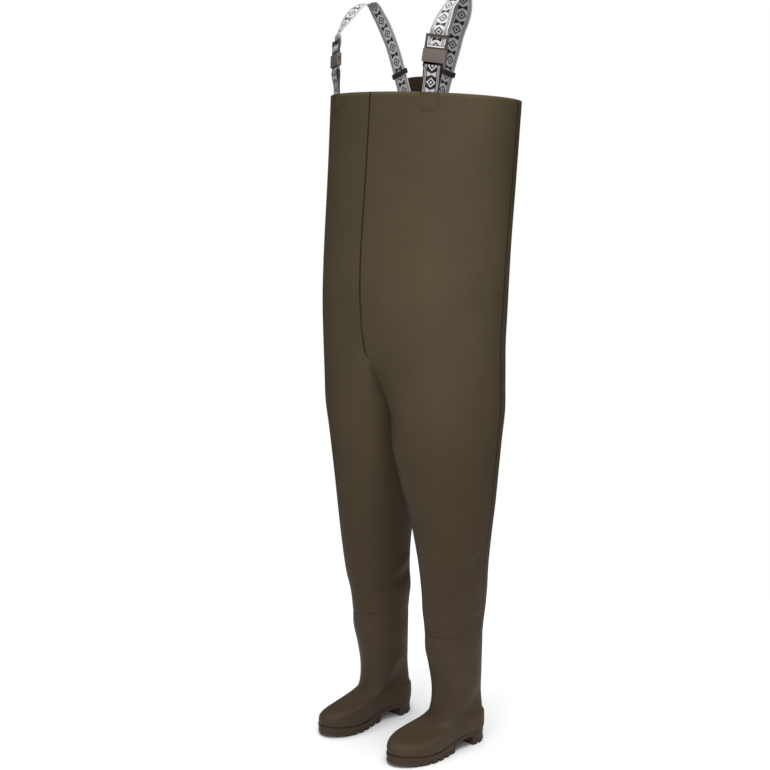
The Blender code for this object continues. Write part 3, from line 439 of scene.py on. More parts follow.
def row_marks(rows):
    """How far down each row is, as the mean distance from row to row."""
    steps = np.linalg.norm(np.diff(rows, axis=0), axis=2).mean(axis=1)
    return np.concatenate([[0], np.cumsum(steps)])


def grid_faces(rows, columns, start=0, closed=False):
    """Quads of a grid of points, down the rows and along the columns."""
    index = start + np.arange(rows * columns).reshape(rows, columns)
    right = np.roll(index, -1, axis=1)
    last = columns if closed else columns - 1
    quads = np.stack([index[:-1], index[1:], right[1:], right[:-1]], -1)[:, :last]
    return quads.reshape(-1, 4)


def welded(points, faces):
    """Points that lie together made one: the kept points, the faces, and where each point went."""
    keys = np.round(points, 6) + 0.0
    _, first, inverse = np.unique(keys, axis=0, return_index=True, return_inverse=True)
    inverse = inverse.reshape(-1)
    return points[first], inverse[faces], inverse


def point_normals(points, faces):
    """Outward normal at each point: the mean of its faces' normals."""
    a, b, c, d = (points[faces[:, i]] for i in range(4))
    cross = np.cross(c - a, d - b)
    cross /= np.linalg.norm(cross, axis=1)[:, None] + 1e-12
    normals = np.zeros_like(points)
    for i in range(4):
        np.add.at(normals, faces[:, i], cross)
    return normals / (np.linalg.norm(normals, axis=1)[:, None] + 1e-12)


def line_distance(points, line):
    """Distance from each point to a bent line, and the share of the way along it."""
    best = np.full(len(points), np.inf)
    share = np.zeros(len(points))
    lengths = np.linalg.norm(np.diff(line, axis=0), axis=1)
    start = np.concatenate([[0], np.cumsum(lengths)])
    for i, (a, b) in enumerate(zip(line[:-1], line[1:])):
        t = np.clip((points - a) @ (b - a) / lengths[i] ** 2, 0, 1)
        distance = np.linalg.norm(points - a - t[:, None] * (b - a), axis=1)
        nearer = distance < best
        best = np.where(nearer, distance, best)
        share = np.where(nearer, (start[i] + t * lengths[i]) / start[-1], share)
    return best, share


class Skin:
    """The shell's outer surface as grids of points and normals, for each side, with its creases."""

    def __init__(self, s, b):
        column = np.arange(AROUND * FINE) / FINE
        outer = OUTER * FINE + 1
        legs = np.stack(
            [fork_ring(s, column), arched(s, 0.33, column), arched(s, 0.67, column)]
            + [leg_ring(s, down, column) for down in LEG_DOWNS]
            + [shaft_section(s, b, s.leg_end + up, loose, column) for up, loose in SLEEVE]
        )
        torso = np.stack([torso_ring(s, up, column[:outer]) for up in TORSO_UPS])
        whole = np.concatenate([torso, legs[:, :outer]])
        marks = row_marks(whole)
        fork = len(torso)
        whole_slopes = row_slopes(whole, marks)
        leg_slopes = row_slopes(legs, marks[fork:])
        # Inside the leg, the fork row's slope blends into that of the front and back seams.
        t = np.clip((column - OUTER) / (AROUND - OUTER), 0, 1)[:, None]
        back = whole_slopes[fork, outer - 1] - leg_slopes[0, outer - 1]
        front = whole_slopes[fork, 0] - leg_slopes[0, 0]
        leg_slopes[0] += back * (1 - t) ** 6 + front * t**6
        leg_slopes[:, :outer] = whole_slopes[fork:]
        torso_places = np.linspace(0, marks[fork], 58)
        leg_places = np.linspace(marks[fork], marks[-1], 84)
        top = between_rows(whole, whole_slopes, marks, torso_places)
        low = between_rows(legs, leg_slopes, marks[fork:], leg_places)
        self.shapes = top.shape[:2], low.shape[:2]
        self.columns = np.concatenate([np.tile(column[:outer], len(top)), np.tile(column, len(low))])
        half = np.concatenate([top.reshape(-1, 3), low.reshape(-1, 3)])
        faces = np.concatenate([
            grid_faces(*self.shapes[0]),
            grid_faces(*self.shapes[1], start=top.shape[0] * top.shape[1], closed=True),
        ])
        points = np.concatenate([half, half * (-1, 1, 1)])
        faces = np.concatenate([faces, faces[:, ::-1] + len(half)])
        self.points, self.faces, self.inverse = welded(points, faces)
        normals = point_normals(self.points, self.faces)
        self.points = self.points + normals * self.creases(half)[:, None]
        self.normals = point_normals(self.points, self.faces)
        self.half = len(half)

    def creases(self, half):
        """How far each kept point moves: each crease adds its rise times a bell of the distance to it."""
        push = np.zeros(len(self.points))
        for side, spots, width, rise in CREASES:
            line = []
            for column, height in spots:
                round_leg = (self.columns - column % AROUND + AROUND / 2) % AROUND - AROUND / 2
                near = np.argmin((round_leg * 0.02) ** 2 + (half[:, 2] - height) ** 2)
                line.append(half[near] * (side, 1, 1))
            distance, share = line_distance(self.points, np.array(line))
            push += rise * bell(distance, width) * ramp(share, -0.05, 0.25) * (1 - ramp(share, 0.75, 1.05))
        return push

    def crotch(self):
        """Points and normals along the seam between the legs, from the front fork to the back."""
        (torso_rows, outer), (_, around) = self.shapes
        first = torso_rows * outer
        found = self.inverse[first + np.r_[0, np.arange(around - 1, outer - 1, -1)]]
        return self.points[found], self.normals[found]

    def strip(self, side):
        """Grids of points and normals from the rim to the leg's end, over the outer columns."""
        start = 0 if side == 1 else self.half
        (torso_rows, outer), (leg_rows, around) = self.shapes
        grids = []
        for values in (self.points, self.normals):
            all_points = values[self.inverse[start : start + self.half]]
            torso = all_points[: torso_rows * outer].reshape(torso_rows, outer, 3)
            legs = all_points[torso_rows * outer :].reshape(leg_rows, around, 3)
            grids.append(np.concatenate([torso[:-1], legs[:, :outer]]))
        return grids

    def spots(self, side, row, column):
        """Points and normals at fractional rows and columns; past the front or back seam is mirrored."""
        points, normals = self.strip(side)
        row, column = np.broadcast_arrays(np.asarray(row, float), np.asarray(column, float))
        folded = np.abs(column)
        folded = np.where(folded > OUTER, 2 * OUTER - folded, folded) * FINE
        flip = np.where((column < 0) | (column > OUTER), -1.0, 1.0)
        i = np.clip(row.astype(int), 0, points.shape[0] - 2)
        j = np.clip(folded.astype(int), 0, points.shape[1] - 2)
        u, v = (row - i)[..., None], (folded - j)[..., None]
        found = []
        for grid in (points, normals):
            upper = grid[i, j] * (1 - v) + grid[i, j + 1] * v
            lower = grid[i + 1, j] * (1 - v) + grid[i + 1, j + 1] * v
            spot = upper * (1 - u) + lower * u
            spot[..., 0] *= flip
            found.append(spot)
        return found[0], found[1] / np.linalg.norm(found[1], axis=-1)[..., None]


# Meshes.
def mesh_piece(name, points, faces, material, caps=(), uvs=None, smooth=40):
    """A piece from points and faces: quads from an array, and any caps as longer faces."""
    mesh = bpy.data.meshes.new(name)
    loops = [list(map(int, f)) for f in np.asarray(faces)] + [list(map(int, c)) for c in caps]
    mesh.from_pydata(np.asarray(points).tolist(), [], loops)
    if uvs is not None:
        layer = mesh.uv_layers.new(name="Webbing")
        flat = np.zeros((len(mesh.loops), 2))
        flat[: len(uvs)] = uvs
        layer.data.foreach_set("uv", flat.reshape(-1))
    mesh.materials.append(material)
    mesh.validate()
    mesh.shade_smooth()
    mesh.set_sharp_from_angle(angle=math.radians(smooth))
    piece = bpy.data.objects.new(name, mesh)
    bpy.context.collection.objects.link(piece)
    return piece


def outwards(piece):
    """Turns a closed piece's faces outwards."""
    shell = bmesh.new()
    shell.from_mesh(piece.data)
    bmesh.ops.recalc_face_normals(shell, faces=shell.faces)
    if shell.calc_volume(signed=True) < 0:
        bmesh.ops.reverse_faces(shell, faces=shell.faces)
    shell.to_mesh(piece.data)
    shell.free()
    return piece


def loft(name, rings, material, smooth=40, uvs=None):
    """A solid through rings of points, each ring closed, with its two ends capped and any UV map."""
    rings = np.asarray(rings)
    count, around = rings.shape[:2]
    faces = grid_faces(count, around, closed=True)
    caps = (range(around), range((count - 1) * around, count * around))
    return outwards(mesh_piece(name, rings.reshape(-1, 3), faces, material, caps, uvs, smooth))


def slab(name, top, under, material):
    """A closed sheet between two grids of points with the same layout."""
    rows, columns = top.shape[:2]
    index = np.arange(rows * columns).reshape(rows, columns)
    edge = np.concatenate([index[0], index[1:, -1], index[-1, -2::-1], index[-2:0:-1, 0]])
    after = np.roll(edge, -1)
    count = rows * columns
    faces = np.concatenate([
        grid_faces(rows, columns),
        grid_faces(rows, columns, start=count)[:, ::-1],
        np.stack([edge, after, after + count, edge + count], -1),
    ])
    points = np.concatenate([top.reshape(-1, 3), under.reshape(-1, 3)])
    return outwards(mesh_piece(name, points, faces, material))


def walled(piece, thickness):
    """Gives an open surface a wall, inwards from its outer face."""
    wall = piece.modifiers.new("Wall", "SOLIDIFY")
    wall.thickness = thickness
    wall.offset = -1
    return piece


def settle(piece, slot, *nodes):
    """Rides a piece on the body and hides the nodes that it stands for; its slot is not used."""
    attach(piece, "root")
    if nodes:
        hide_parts(*nodes)
    return piece


# Materials. A grain's scale is about its repeats per metre: 1.6 mm on the fabric, 2.4 mm on the boots
# and 1.4 mm on the buckles, coarser than the real ones, because finer doesn't show.
FABRIC_GRAIN = (620.0, 2.0)
BOOT_GRAIN = 420.0
BUCKLE_GRAIN = 700.0


def add(tree, kind, inputs=None, **settings):
    """Adds a node with its settings; inputs gives a socket's value, or the output that feeds it."""
    item = tree.nodes.new("ShaderNode" + kind)
    for name, value in settings.items():
        setattr(item, name, value)
    for key, value in (inputs or {}).items():
        if isinstance(value, bpy.types.NodeSocket):
            tree.links.new(value, item.inputs[key])
        else:
            item.inputs[key].default_value = value
    return item


def principled(name, **values):
    """A Principled material: the material, its nodes and its shader."""
    material = bpy.data.materials.new(name)
    material.use_nodes = True
    tree = material.node_tree
    shader = tree.nodes["Principled BSDF"]
    for key, value in values.items():
        shader.inputs[key.replace("_", " ")].default_value = value
    return material, tree, shader


def grained(name, colour, drift, tones, grain, relief, gloss=None, **values):
    """A material on Object coordinates: its tone and gloss drift with one noise, over another's grain.

    drift, grain: scale and detail of each noise, and without a grain the drift is raised; tones: the low
    and high of the drift and the tone at each; relief: strength and height; gloss: roughness at each.
    """
    material, tree, shader = principled(name, **values)
    place = add(tree, "TexCoord").outputs["Object"]
    noises = [
        add(tree, "TexNoise", {"Vector": place, "Scale": scale, "Detail": detail}).outputs[0]
        for scale, detail in (drift, grain or drift)
    ]
    low, high, dark, light = tones
    shade = add(tree, "MapRange", {0: noises[0], 1: low, 2: high, 3: dark, 4: light})
    tone = add(tree, "HueSaturation", {"Color": (*colour, 1), "Value": shade.outputs[0]})
    tree.links.new(tone.outputs[0], shader.inputs["Base Color"])
    if gloss:
        rough = add(tree, "MapRange", {0: noises[0], 1: low, 2: high, 3: gloss[0], 4: gloss[1]})
        tree.links.new(rough.outputs[0], shader.inputs["Roughness"])
    bump = add(tree, "Bump", {"Height": noises[1], "Strength": relief[0], "Distance": relief[1]})
    tree.links.new(bump.outputs[0], shader.inputs["Normal"])
    return material, tree, tone, place


def coated_fabric(s):
    """Polyester fabric calendered with PVC: a satin olive brown skin with a faint grain.

    The coat shows soft broad highlights, slow drifts of colour over a hand's width, and a fine
    embossed grain, drawn at 1.6 mm where the real one has 0.6 mm, because finer doesn't show. Its
    colour turns darker from the chest down to the shins: painted shade, where less light falls.
    """
    material, tree, tone, place = grained(
        "pvc_coated_fabric", s.fabric, (7.0, 3.0), (0.3, 0.7, 0.93, 1.07), FABRIC_GRAIN, (0.12, 0.0004),
        (0.60, 0.52), IOR=1.52, Specular_IOR_Level=0.07,
    )
    # Painted shade: the colour darkens from the chest down to the shins, where less light falls.
    height = add(tree, "SeparateXYZ", {0: place}).outputs["Z"]
    low = add(tree, "MapRange", {0: height, 1: 1.15, 2: 0.35}, interpolation_type="SMOOTHSTEP").outputs[0]
    colours = {"Factor": low, "A": (*s.fabric, 1), "B": (*s.fabric_low_painted_shade, 1)}
    base = add(tree, "Mix", colours, data_type="RGBA").outputs["Result"]
    tree.links.new(base, tone.inputs["Color"])
    return material


def weld_tape(s):
    """PVC weld tape pressed over a seam: the fabric's brown, darkened as painted shade of its groove."""
    return grained(
        "pvc_weld_tape_painted_shade", s.tape_painted_shade, (60.0, 2.0), (0.0, 1.0, 0.85, 1.15), FABRIC_GRAIN, (0.15, 0.0004),
        IOR=1.52, Roughness=0.55, Specular_IOR_Level=0.12,
    )[0]


def moulded(name, colour, roughness, grain):
    """Injection moulded PVC or acetal: even and satin, with a fine sparked grain and slight flow marks."""
    return grained(
        name, colour, (16.0, 3.0), (0.3, 0.7, 0.92, 1.08), (grain, 1.0), (0.10, 0.0004),
        (roughness + 0.04, roughness - 0.04), IOR=1.53, Specular_IOR_Level=0.10,
    )[0]


def felt_footbed(b):
    """Needled felt on foam: matt charcoal with short fibres."""
    return grained(
        "needled_felt", b.felt, (300.0, 4.0), (0.0, 1.0, 0.6, 1.4), None, (0.5, 0.001),
        Roughness=0.95, Specular_IOR_Level=0.2,
    )[0]


# The webbing's UV map holds metres: U across it, with this much added on its back, and V along it.
BACK_SHIFT = 0.1
RIB_PITCH = 0.0016


def woven_webbing(name, ground, figure, repeat):
    """Jacquard polyester webbing: ribbed, with two thin lines by each selvedge and a lozenge motif.

    Each row makes a value from those above it: two lines by each selvedge, a lozenge ring round a filled
    centre where along plus across reaches its size, and between them a knot of two wedges. The figure
    lies a little under the ground. The ribs are drawn at about twice their real spacing, because finer
    ones don't show.
    """
    material, tree, shader = principled(name, Roughness=0.8, Specular_IOR_Level=0.3, Sheen_Weight=0.25)
    uv = add(tree, "UVMap", uv_map="Webbing").outputs[0]
    split = add(tree, "SeparateXYZ", {0: uv}).outputs
    wires = {"x": split["X"], "y": split["Y"]}
    for made, operation, *values in (
        ("behind", "GREATER_THAN", "x", BACK_SHIFT / 2),
        ("shift", "MULTIPLY", "behind", BACK_SHIFT),
        ("centred", "SUBTRACT", "x", "shift"),
        ("across", "ABSOLUTE", "centred"),
        ("inner line", "COMPARE", "across", 0.0132, 0.0006),
        ("outer line", "COMPARE", "across", 0.0162, 0.0006),
        ("lines", "MAXIMUM", "inner line", "outer line"),
        ("along", "PINGPONG", "y", repeat / 2),
        ("reach", "ADD", "along", "across"),
        ("ring", "COMPARE", "reach", 0.0088, 0.0018),
        ("centre", "LESS_THAN", "reach", 0.0032),
        ("lozenge", "MAXIMUM", "ring", "centre"),
        ("other", "SUBTRACT", repeat / 2, "along"),
        ("taper", "MULTIPLY", "across", 0.45),
        ("wedge", "SUBTRACT", "other", "taper"),
        ("wedges", "LESS_THAN", "wedge", 0.0012),
        ("inside", "LESS_THAN", "across", 0.0105),
        ("knot", "MULTIPLY", "wedges", "inside"),
        ("marks", "MAXIMUM", "lines", "lozenge"),
        ("motif", "MAXIMUM", "marks", "knot"),
        ("turns", "MULTIPLY", "y", 2 * math.pi / RIB_PITCH),
        ("ribs", "SINE", "turns"),
        ("relief", "ADD", "ribs", "motif"),
    ):
        inputs = {i: wires.get(value, value) for i, value in enumerate(values)}
        wires[made] = add(tree, "Math", inputs, operation=operation).outputs[0]
    threads = add(tree, "TexNoise", {"Vector": uv, "Scale": 900.0, "Detail": 1.0}).outputs[0]
    faded = add(tree, "MapRange", {0: threads, 1: 0.3, 2: 0.7, 3: 0.82, 4: 1.0}).outputs[0]
    colours = {"Factor": wires["motif"], "A": (*ground, 1), "B": (*figure, 1)}
    mixed = add(tree, "Mix", colours, data_type="RGBA").outputs["Result"]
    tone = add(tree, "HueSaturation", {"Color": mixed, "Value": faded}).outputs[0]
    tree.links.new(tone, shader.inputs["Base Color"])
    relief = {"Height": wires["relief"], "Strength": 0.5, "Distance": 0.0003}
    bump = add(tree, "Bump", relief, invert=True)
    tree.links.new(bump.outputs[0], shader.inputs["Normal"])
    return material


# Skin, seams and patches. The section of a welded seam is given as shares of its half width and of its
# height: half an oval over the skin.
SEAM_ACROSS = np.array([-1.0, -0.93, -0.7, -0.35, 0.0, 0.35, 0.7, 0.93, 1.0, 0.5, 0.0, -0.5])
SEAM_LIFT = np.array([-0.2, 0.35, 0.8, 0.96, 1.0, 0.96, 0.8, 0.35, -0.2, -0.3, -0.3, -0.3])


def skin_of(context):
    """The shell's surface, worked out from the scene's sizes."""
    return Skin(context.scene.wader_body, context.scene.wader_boots)


class WADER_OT_skin(bpy.types.Operator):
    """Coated body with its soft creases, open at the rim and at both ankles"""

    bl_idname = "wader.skin"
    bl_label = "Coated skin"

    def execute(self, context):
        s = context.scene.wader_body
        skin = skin_of(context)
        piece = mesh_piece("coated_skin", skin.points, skin.faces, coated_fabric(s), smooth=60)
        settle(walled(piece, s.wall), "coated_fabric", "shell")
        return {"FINISHED"}


def seam_rings(s, skin, side, column, rows):
    """Rings of a low crowned strip along a column: half an oval over the skin, flat under it."""
    here, _ = skin.spots(side, rows, column)
    near, _ = skin.spots(side, rows, column - 0.5 if column >= OUTER else column + 0.5)
    half = s.seam_width / 2 / (np.linalg.norm(near - here, axis=-1) / 0.5)
    points, normals = skin.spots(side, rows[:, None], column + half[:, None] * SEAM_ACROSS)
    return points + normals * (SEAM_LIFT * s.seam_height)[None, :, None]


def crotch_rings(s, skin):
    """The same strip along the seam between the legs."""
    points, normals = skin.crotch()
    sideways = SEAM_ACROSS[:, None] * (s.seam_width / 2, 0, 0)
    return points[:, None] + sideways + normals[:, None] * (SEAM_LIFT * s.seam_height)[:, None]


class WADER_OT_seams(bpy.types.Operator):
    """Welded seams down the front, the back and both sides"""

    bl_idname = "wader.seams"
    bl_label = "Welded seams"

    def execute(self, context):
        s = context.scene.wader_body
        skin = skin_of(context)
        # The seams are darker than the fabric: painted shade of the groove along each weld.
        tape_painted_shade = weld_tape(s)
        torso_rows, leg_rows = skin.shapes[0][0], skin.shapes[1][0]
        last = torso_rows + leg_rows - 2
        fork = np.arange(0.0, torso_rows)
        whole = np.arange(0.0, last + 1)
        runs = (
            ("seam_front", 1, 0, fork), ("seam_back", 1, OUTER, fork[3:]),
            ("seam_side_left", 1, SIDE_COLUMN, whole), ("seam_side_right", -1, SIDE_COLUMN, whole),
        )
        for node, side, column, rows in runs:
            rings = seam_rings(s, skin, side, column, rows)
            if node == "seam_front":
                rings = np.concatenate([rings, crotch_rings(s, skin)[2:-2]])
            piece = loft("welded_" + node, rings, tape_painted_shade, smooth=60)
            settle(piece, "weld_tape", node)
        return {"FINISHED"}


# A patch: its width at the rim, its height and thickness, and how much narrower its rounded end is. Its
# weld line runs inside its edge: how far in, how deep and half its width.
PATCH_WIDTH = 0.044
PATCH_HEIGHT = 0.038
PATCH_THICKNESS = 0.0015
PATCH_TIP = 0.62
WELD_IN = 0.0034
WELD_DEPTH = 0.0007
WELD_HALF = 0.0008


def patch_grids(skin, side, column):
    """A patch under the rim: its sides narrow to a rounded end, and a weld line runs round inside."""
    rim, _ = skin.spots(side, 0.0, column)
    below, _ = skin.spots(side, 6.0, column)
    beside, _ = skin.spots(side, 0.0, column - 1)
    down_rows = PATCH_HEIGHT / (np.linalg.norm(below - rim) / 6)
    pitch = np.linalg.norm(beside - rim)
    u = np.linspace(-1, 1, 37)[None, :]
    v = np.linspace(0.02, 1, 33)[:, None]
    half = np.sqrt(1 - PATCH_TIP * np.clip((v - 0.55) / 0.45, 0, 1) ** 2) * PATCH_WIDTH / 2
    edge = np.minimum((1 - np.abs(u)) * half, (1 - v) * PATCH_HEIGHT + 0 * u)
    points, normals = skin.spots(side, v * down_rows + 0 * u, column + u * half / pitch)
    lift = PATCH_THICKNESS * ramp(edge, -0.0006, 0.0012) - WELD_DEPTH * bell(edge - WELD_IN, WELD_HALF)
    return points + normals * lift[..., None], points - normals * GAP


class WADER_OT_patches(bpy.types.Operator):
    """Welded patches that hold the braces"""

    bl_idname = "wader.patches"
    bl_label = "Patches"

    def execute(self, context):
        skin = skin_of(context)
        fabric = bpy.data.materials["pvc_coated_fabric"]
        for node, side, column in (
            ("patch_front_left", 1, ANCHOR_COLUMN), ("patch_front_right", -1, ANCHOR_COLUMN),
            ("patch_back", 1, OUTER),
        ):
            piece = slab("welded_" + node, *patch_grids(skin, side, column), fabric)
            settle(piece, "weld_tape", node)
        return {"FINISHED"}


# Boots. The upper clears the sole by the feather's gap, its toe turns inwards, and the foot slopes down
# from the inner side to the outer. Rows of the surface, and how often all of it, and its back and sides
# over the foot, are evened out between their neighbours.
FEATHER_GAP = 0.0004
TOE_IN = 0.006
VAMP_SLOPE = 0.16
BOOT_ROWS = 130
EVEN_ALL = 12
EVEN_BACK = 60


def seat_height(b, along):
    """Height of the sole's upper face: high under the heel, lowest at the ball, and up at the toe."""
    table = (
        (0.00, b.heel_seat), (0.20, b.heel_seat - 0.0005), (0.42, (b.heel_seat + b.ball_seat) / 2),
        (0.64, b.ball_seat), (0.82, b.ball_seat + 0.002), (1.00, b.toe_seat),
    )
    return eased(along, table, 1)


def boot_ring(s, b, row, angle):
    """A ring of the boot: along the foot by the cosine of the angle, and across it by the sine."""
    toe, toe_up, heel, heel_up, width, foot = row
    share = (1 + np.cos(angle)) / 2
    side = np.where(np.sin(angle) >= 0, eased(share, FOOT_OUTLINE, 1), eased(share, FOOT_OUTLINE, 2))
    across = np.sin(angle) * (side * b.ball / 2 * foot + b.shaft * (1 - foot)) * width
    across = across - TOE_IN * foot * np.clip((share - 0.45) / 0.55, 0, 1) ** 2
    along = heel + (toe - heel) * share
    rise = heel_up + (toe_up - heel_up) * share
    seat = seat_height(b, along)
    level = seat + (b.heel_seat - seat) * np.clip(rise * 3, 0, 1)
    z = level + FEATHER_GAP + rise * (s.leg_end + s.overlap - b.heel_seat)
    z = z - VAMP_SLOPE * across * share * np.clip(rise / 0.10, 0, 1) * foot
    return np.stack([s.stance + across, b.heel_y - along * b.length, z], -1)


def outset(ring, distance):
    """Rings moved outwards in plan, along the plan normals of their points."""
    step = np.roll(ring, -1, axis=-2) - np.roll(ring, 1, axis=-2)
    normal = np.stack([-step[..., 1], step[..., 0]], -1)
    normal /= np.linalg.norm(normal, axis=-1)[..., None]
    middle = ring[..., :2].mean(axis=-2, keepdims=True)
    facing = np.sign(((ring[..., :2] - middle) * normal).sum(axis=(-1, -2)))[..., None, None]
    moved = ring.copy()
    moved[..., :2] += normal * facing * distance
    return moved


def boot_surface(s, b, around=144):
    """The boot's outer surface: rings joined by cubics, with the heel's counter set out in a step."""
    angle = np.arange(around) * 2 * math.pi / around
    rings = [boot_ring(s, b, row, angle) for row in BOOT_RINGS]
    for height in (s.leg_end - 0.012, s.leg_end + 0.014, s.leg_end + s.overlap):
        rings.append(rings[-1] * (1, 1, 0) + (0, 0, height))
    rings = np.stack(rings)
    marks = row_marks(rings)
    fine = between_rows(rings, row_slopes(rings, marks), marks, np.linspace(0, marks[-1], BOOT_ROWS))
    for _ in range(EVEN_ALL):
        fine[1:-1] = (fine[:-2] + 2 * fine[1:-1] + fine[2:]) / 4
        fine = (np.roll(fine, 1, axis=1) + 2 * fine + np.roll(fine, -1, axis=1)) / 4
    share = (1 + np.cos(angle)) / 2
    soft = (1 - ramp(share, 0.50, 0.75)) * ramp(np.arange(len(fine)), 8, 26)[1:-1, None]
    for _ in range(EVEN_BACK):
        mean = (fine[:-2] + 2 * fine[1:-1] + fine[2:]) / 4
        fine[1:-1] += (mean - fine[1:-1]) * soft[..., None]
    under = 1 - ramp(fine[..., 2], COUNTER_TOP - COUNTER_FADE, COUNTER_TOP)
    fine = outset(fine, (b.counter * ramp(0.30 - share, 0, 0.08) * under)[..., None])
    fine[..., 2] = np.minimum(fine[..., 2], s.leg_end + s.overlap)
    return fine


class WADER_OT_boots(bpy.types.Operator):
    """Moulded boots: foot, ankle and shaft in one, with a stepped counter"""

    bl_idname = "wader.boots"
    bl_label = "Boots"

    def execute(self, context):
        s, b = context.scene.wader_body, context.scene.wader_boots
        material = moulded("moulded_pvc", b.moulded, 0.56, BOOT_GRAIN)
        rows = boot_surface(s, b)
        for side, tag in ((1, "left"), (-1, "right")):
            faces = grid_faces(*rows.shape[:2], closed=True)
            faces = faces if side == -1 else faces[:, ::-1]
            points = (rows * (side, 1, 1)).reshape(-1, 3)
            piece = mesh_piece("moulded_boot_" + tag, points, faces, material)
            settle(walled(piece, b.wall), "boot_pvc", "boot_" + tag)
        return {"FINISHED"}


# Soles. Where the toe's rise begins and where the cuts have run out on the side, as shares of the
# length. The first cleat's distance from the heel's back, the heel's cuts, and where the forefoot's
# cleats begin, as a share. A channel runs down the middle under the heel and the forefoot: its ends, its
# half width and its share of the cleats' depth. A cut's wall leans over twice its edge.
SPRING_START = 0.74
CUTS_END = 0.84
HEEL_INSET = 0.004
HEEL_CUTS = 2
FORE_START = 0.43
HEEL_CHANNEL = (0.0108, 0.049)
FORE_CHANNEL = (0.0068, 0.257)
CHANNEL_HALF = 0.0045
CHANNEL_DEPTH = 0.8
CUT_EDGE = 0.0007


def ground(b, along):
    """Height of the sole's underside: flat, then a rise under the toe."""
    return b.spring * np.clip((along - SPRING_START) / (1 - SPRING_START), 0, 1) ** 2


def cuts(b):
    """Start, end and height of each cut across the sole, from the heel's back."""
    fore = FORE_START * b.length
    room = b.lug_pitch - b.lug_length
    runs = []
    for start, count in ((HEEL_INSET, HEEL_CUTS), (fore, int((b.length - fore) / b.lug_pitch))):
        begins = start + np.arange(count) * b.lug_pitch + b.lug_length
        runs += [(begin, begin + room, b.lug) for begin in begins]
    waist = (HEEL_INSET + HEEL_CUTS * b.lug_pitch + b.lug_length, fore, b.waist)
    return [*runs, waist]


def channels(b):
    """Start and end of the channel under the heel and under the forefoot."""
    return HEEL_CHANNEL, (FORE_START * b.length + FORE_CHANNEL[0], FORE_CHANNEL[1])


def cut_wall(x, begin, end):
    """1 between a cut's ends and 0 past them, with smooth steps."""
    rise = ramp(x, begin - CUT_EDGE, begin + CUT_EDGE)
    return rise * (1 - ramp(x, end - CUT_EDGE, end + CUT_EDGE))


def tread_height(b, distance, across):
    """How far the underside is cut away at a distance from the heel and across the foot."""
    height = 0 * distance
    for begin, end, cut in cuts(b):
        height = np.maximum(height, cut * cut_wall(distance, begin, end))
    middle = 1 - ramp(np.abs(across), CHANNEL_HALF - CUT_EDGE, CHANNEL_HALF + CUT_EDGE)
    for begin, end in channels(b):
        height = np.maximum(height, CHANNEL_DEPTH * b.lug * cut_wall(distance, begin, end) * middle)
    return height


def sole_rings(s, b):
    """Rings across the sole from heel to toe: down one side, under the foot, up the other, and over.

    Both sides follow the outline at plus and minus an angle; the cosine of it is the place along.
    """
    edges = np.array([value for run in (*cuts(b), *channels(b)) for value in run[:2]])
    close = (edges[:, None] + np.array([-0.0008, -0.0004, 0.0, 0.0004, 0.0008])).reshape(-1)
    toe, _, heel = BOOT_RINGS[0][:3]
    share = (close / b.length - heel) / (toe - heel)
    at_edges = np.arccos(np.clip(2 * share - 1, -0.9999, 0.9999))
    angle = np.concatenate([np.linspace(0.01, math.pi - 0.01, 110), at_edges])
    angle = np.unique(np.round(angle, 5))
    table = np.array(SOLE_SIDE)
    both = np.concatenate([angle, -angle[::-1]])
    outline = boot_ring(s, b, BOOT_RINGS[0], both)
    sides = []
    for out, up in table:
        ring = outset(outline, b.ledge * out)
        along = (b.heel_y - ring[:, 1]) / b.length
        low, high = ground(b, along), seat_height(b, along)
        cut = tread_height(b, along * b.length, ring[:, 0] - s.stance)
        cut *= 1 - ramp(along, SPRING_START, CUTS_END)
        ring[:, 2] = np.maximum(low + (high - low) * up, low + cut)
        sides.append(ring)
    sides = np.stack(sides)
    lateral, medial = sides[:, : len(angle)], sides[:, len(angle):][:, ::-1]
    inner = np.linspace(0.04, 0.96, 22)
    under = lateral[-1][None] + (medial[-1] - lateral[-1])[None] * inner[:, None, None]
    along = (b.heel_y - under[..., 1]) / b.length
    under[..., 2] = ground(b, along) + tread_height(b, along * b.length, under[..., 0] - s.stance)
    over = medial[0][None] + (lateral[0] - medial[0])[None] * np.linspace(0, 1, 8)[1:-1, None, None]
    over[..., 2] = seat_height(b, (b.heel_y - over[..., 1]) / b.length)
    return np.concatenate([lateral, under, medial[::-1], over]).swapaxes(0, 1)


class WADER_OT_soles(bpy.types.Operator):
    """Cleated soles with a ledge round their upper edge, and the footbeds"""

    bl_idname = "wader.soles"
    bl_label = "Soles"

    def execute(self, context):
        s, b = context.scene.wader_body, context.scene.wader_boots
        tread = moulded("sole_pvc", b.tread, 0.55, BOOT_GRAIN)
        felt = felt_footbed(b)
        rings = sole_rings(s, b)
        for side, tag in ((1, "left"), (-1, "right")):
            piece = loft("cleated_sole_" + tag, rings * (side, 1, 1), tread, smooth=35)
            settle(piece, "sole_pvc", "outsole_" + tag)
            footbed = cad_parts["insole_" + tag]
            footbed.material_slots[0].material = felt
        return {"FINISHED"}


# Braces. The webbing's section, with rounded selvedges, as shares of its half width and its thickness.
WEB_ACROSS = np.array([-1.0, -0.985, -0.95, -0.5, 0.0, 0.5, 0.95, 0.985, 1.0])
WEB_LIFT = np.array([0.0, 0.32, 0.5, 0.5, 0.5, 0.5, 0.5, 0.32, 0.0])


def anchor(values, side=1):
    """Matrix of an anchor, across the strap, up along it and outwards, with its point and its depth."""
    here, up, out, depth = values
    up, out = unit(np.array(up) * (side, 1, 1)), unit(np.array(out) * (side, 1, 1))
    return np.column_stack([np.cross(up, out), up, out]), np.array(here) * (side, 1, 1), depth


def tilted(axes, tilt):
    """An anchor's matrix turned about its outward axis."""
    across, up, out = axes.T
    up = up * math.cos(tilt) + across * math.sin(tilt)
    return np.column_stack([np.cross(up, out), up, out])


def placed(route, axes, here):
    """World points of a route given across, up and outwards from an anchor."""
    return np.asarray(route) @ axes.T + here


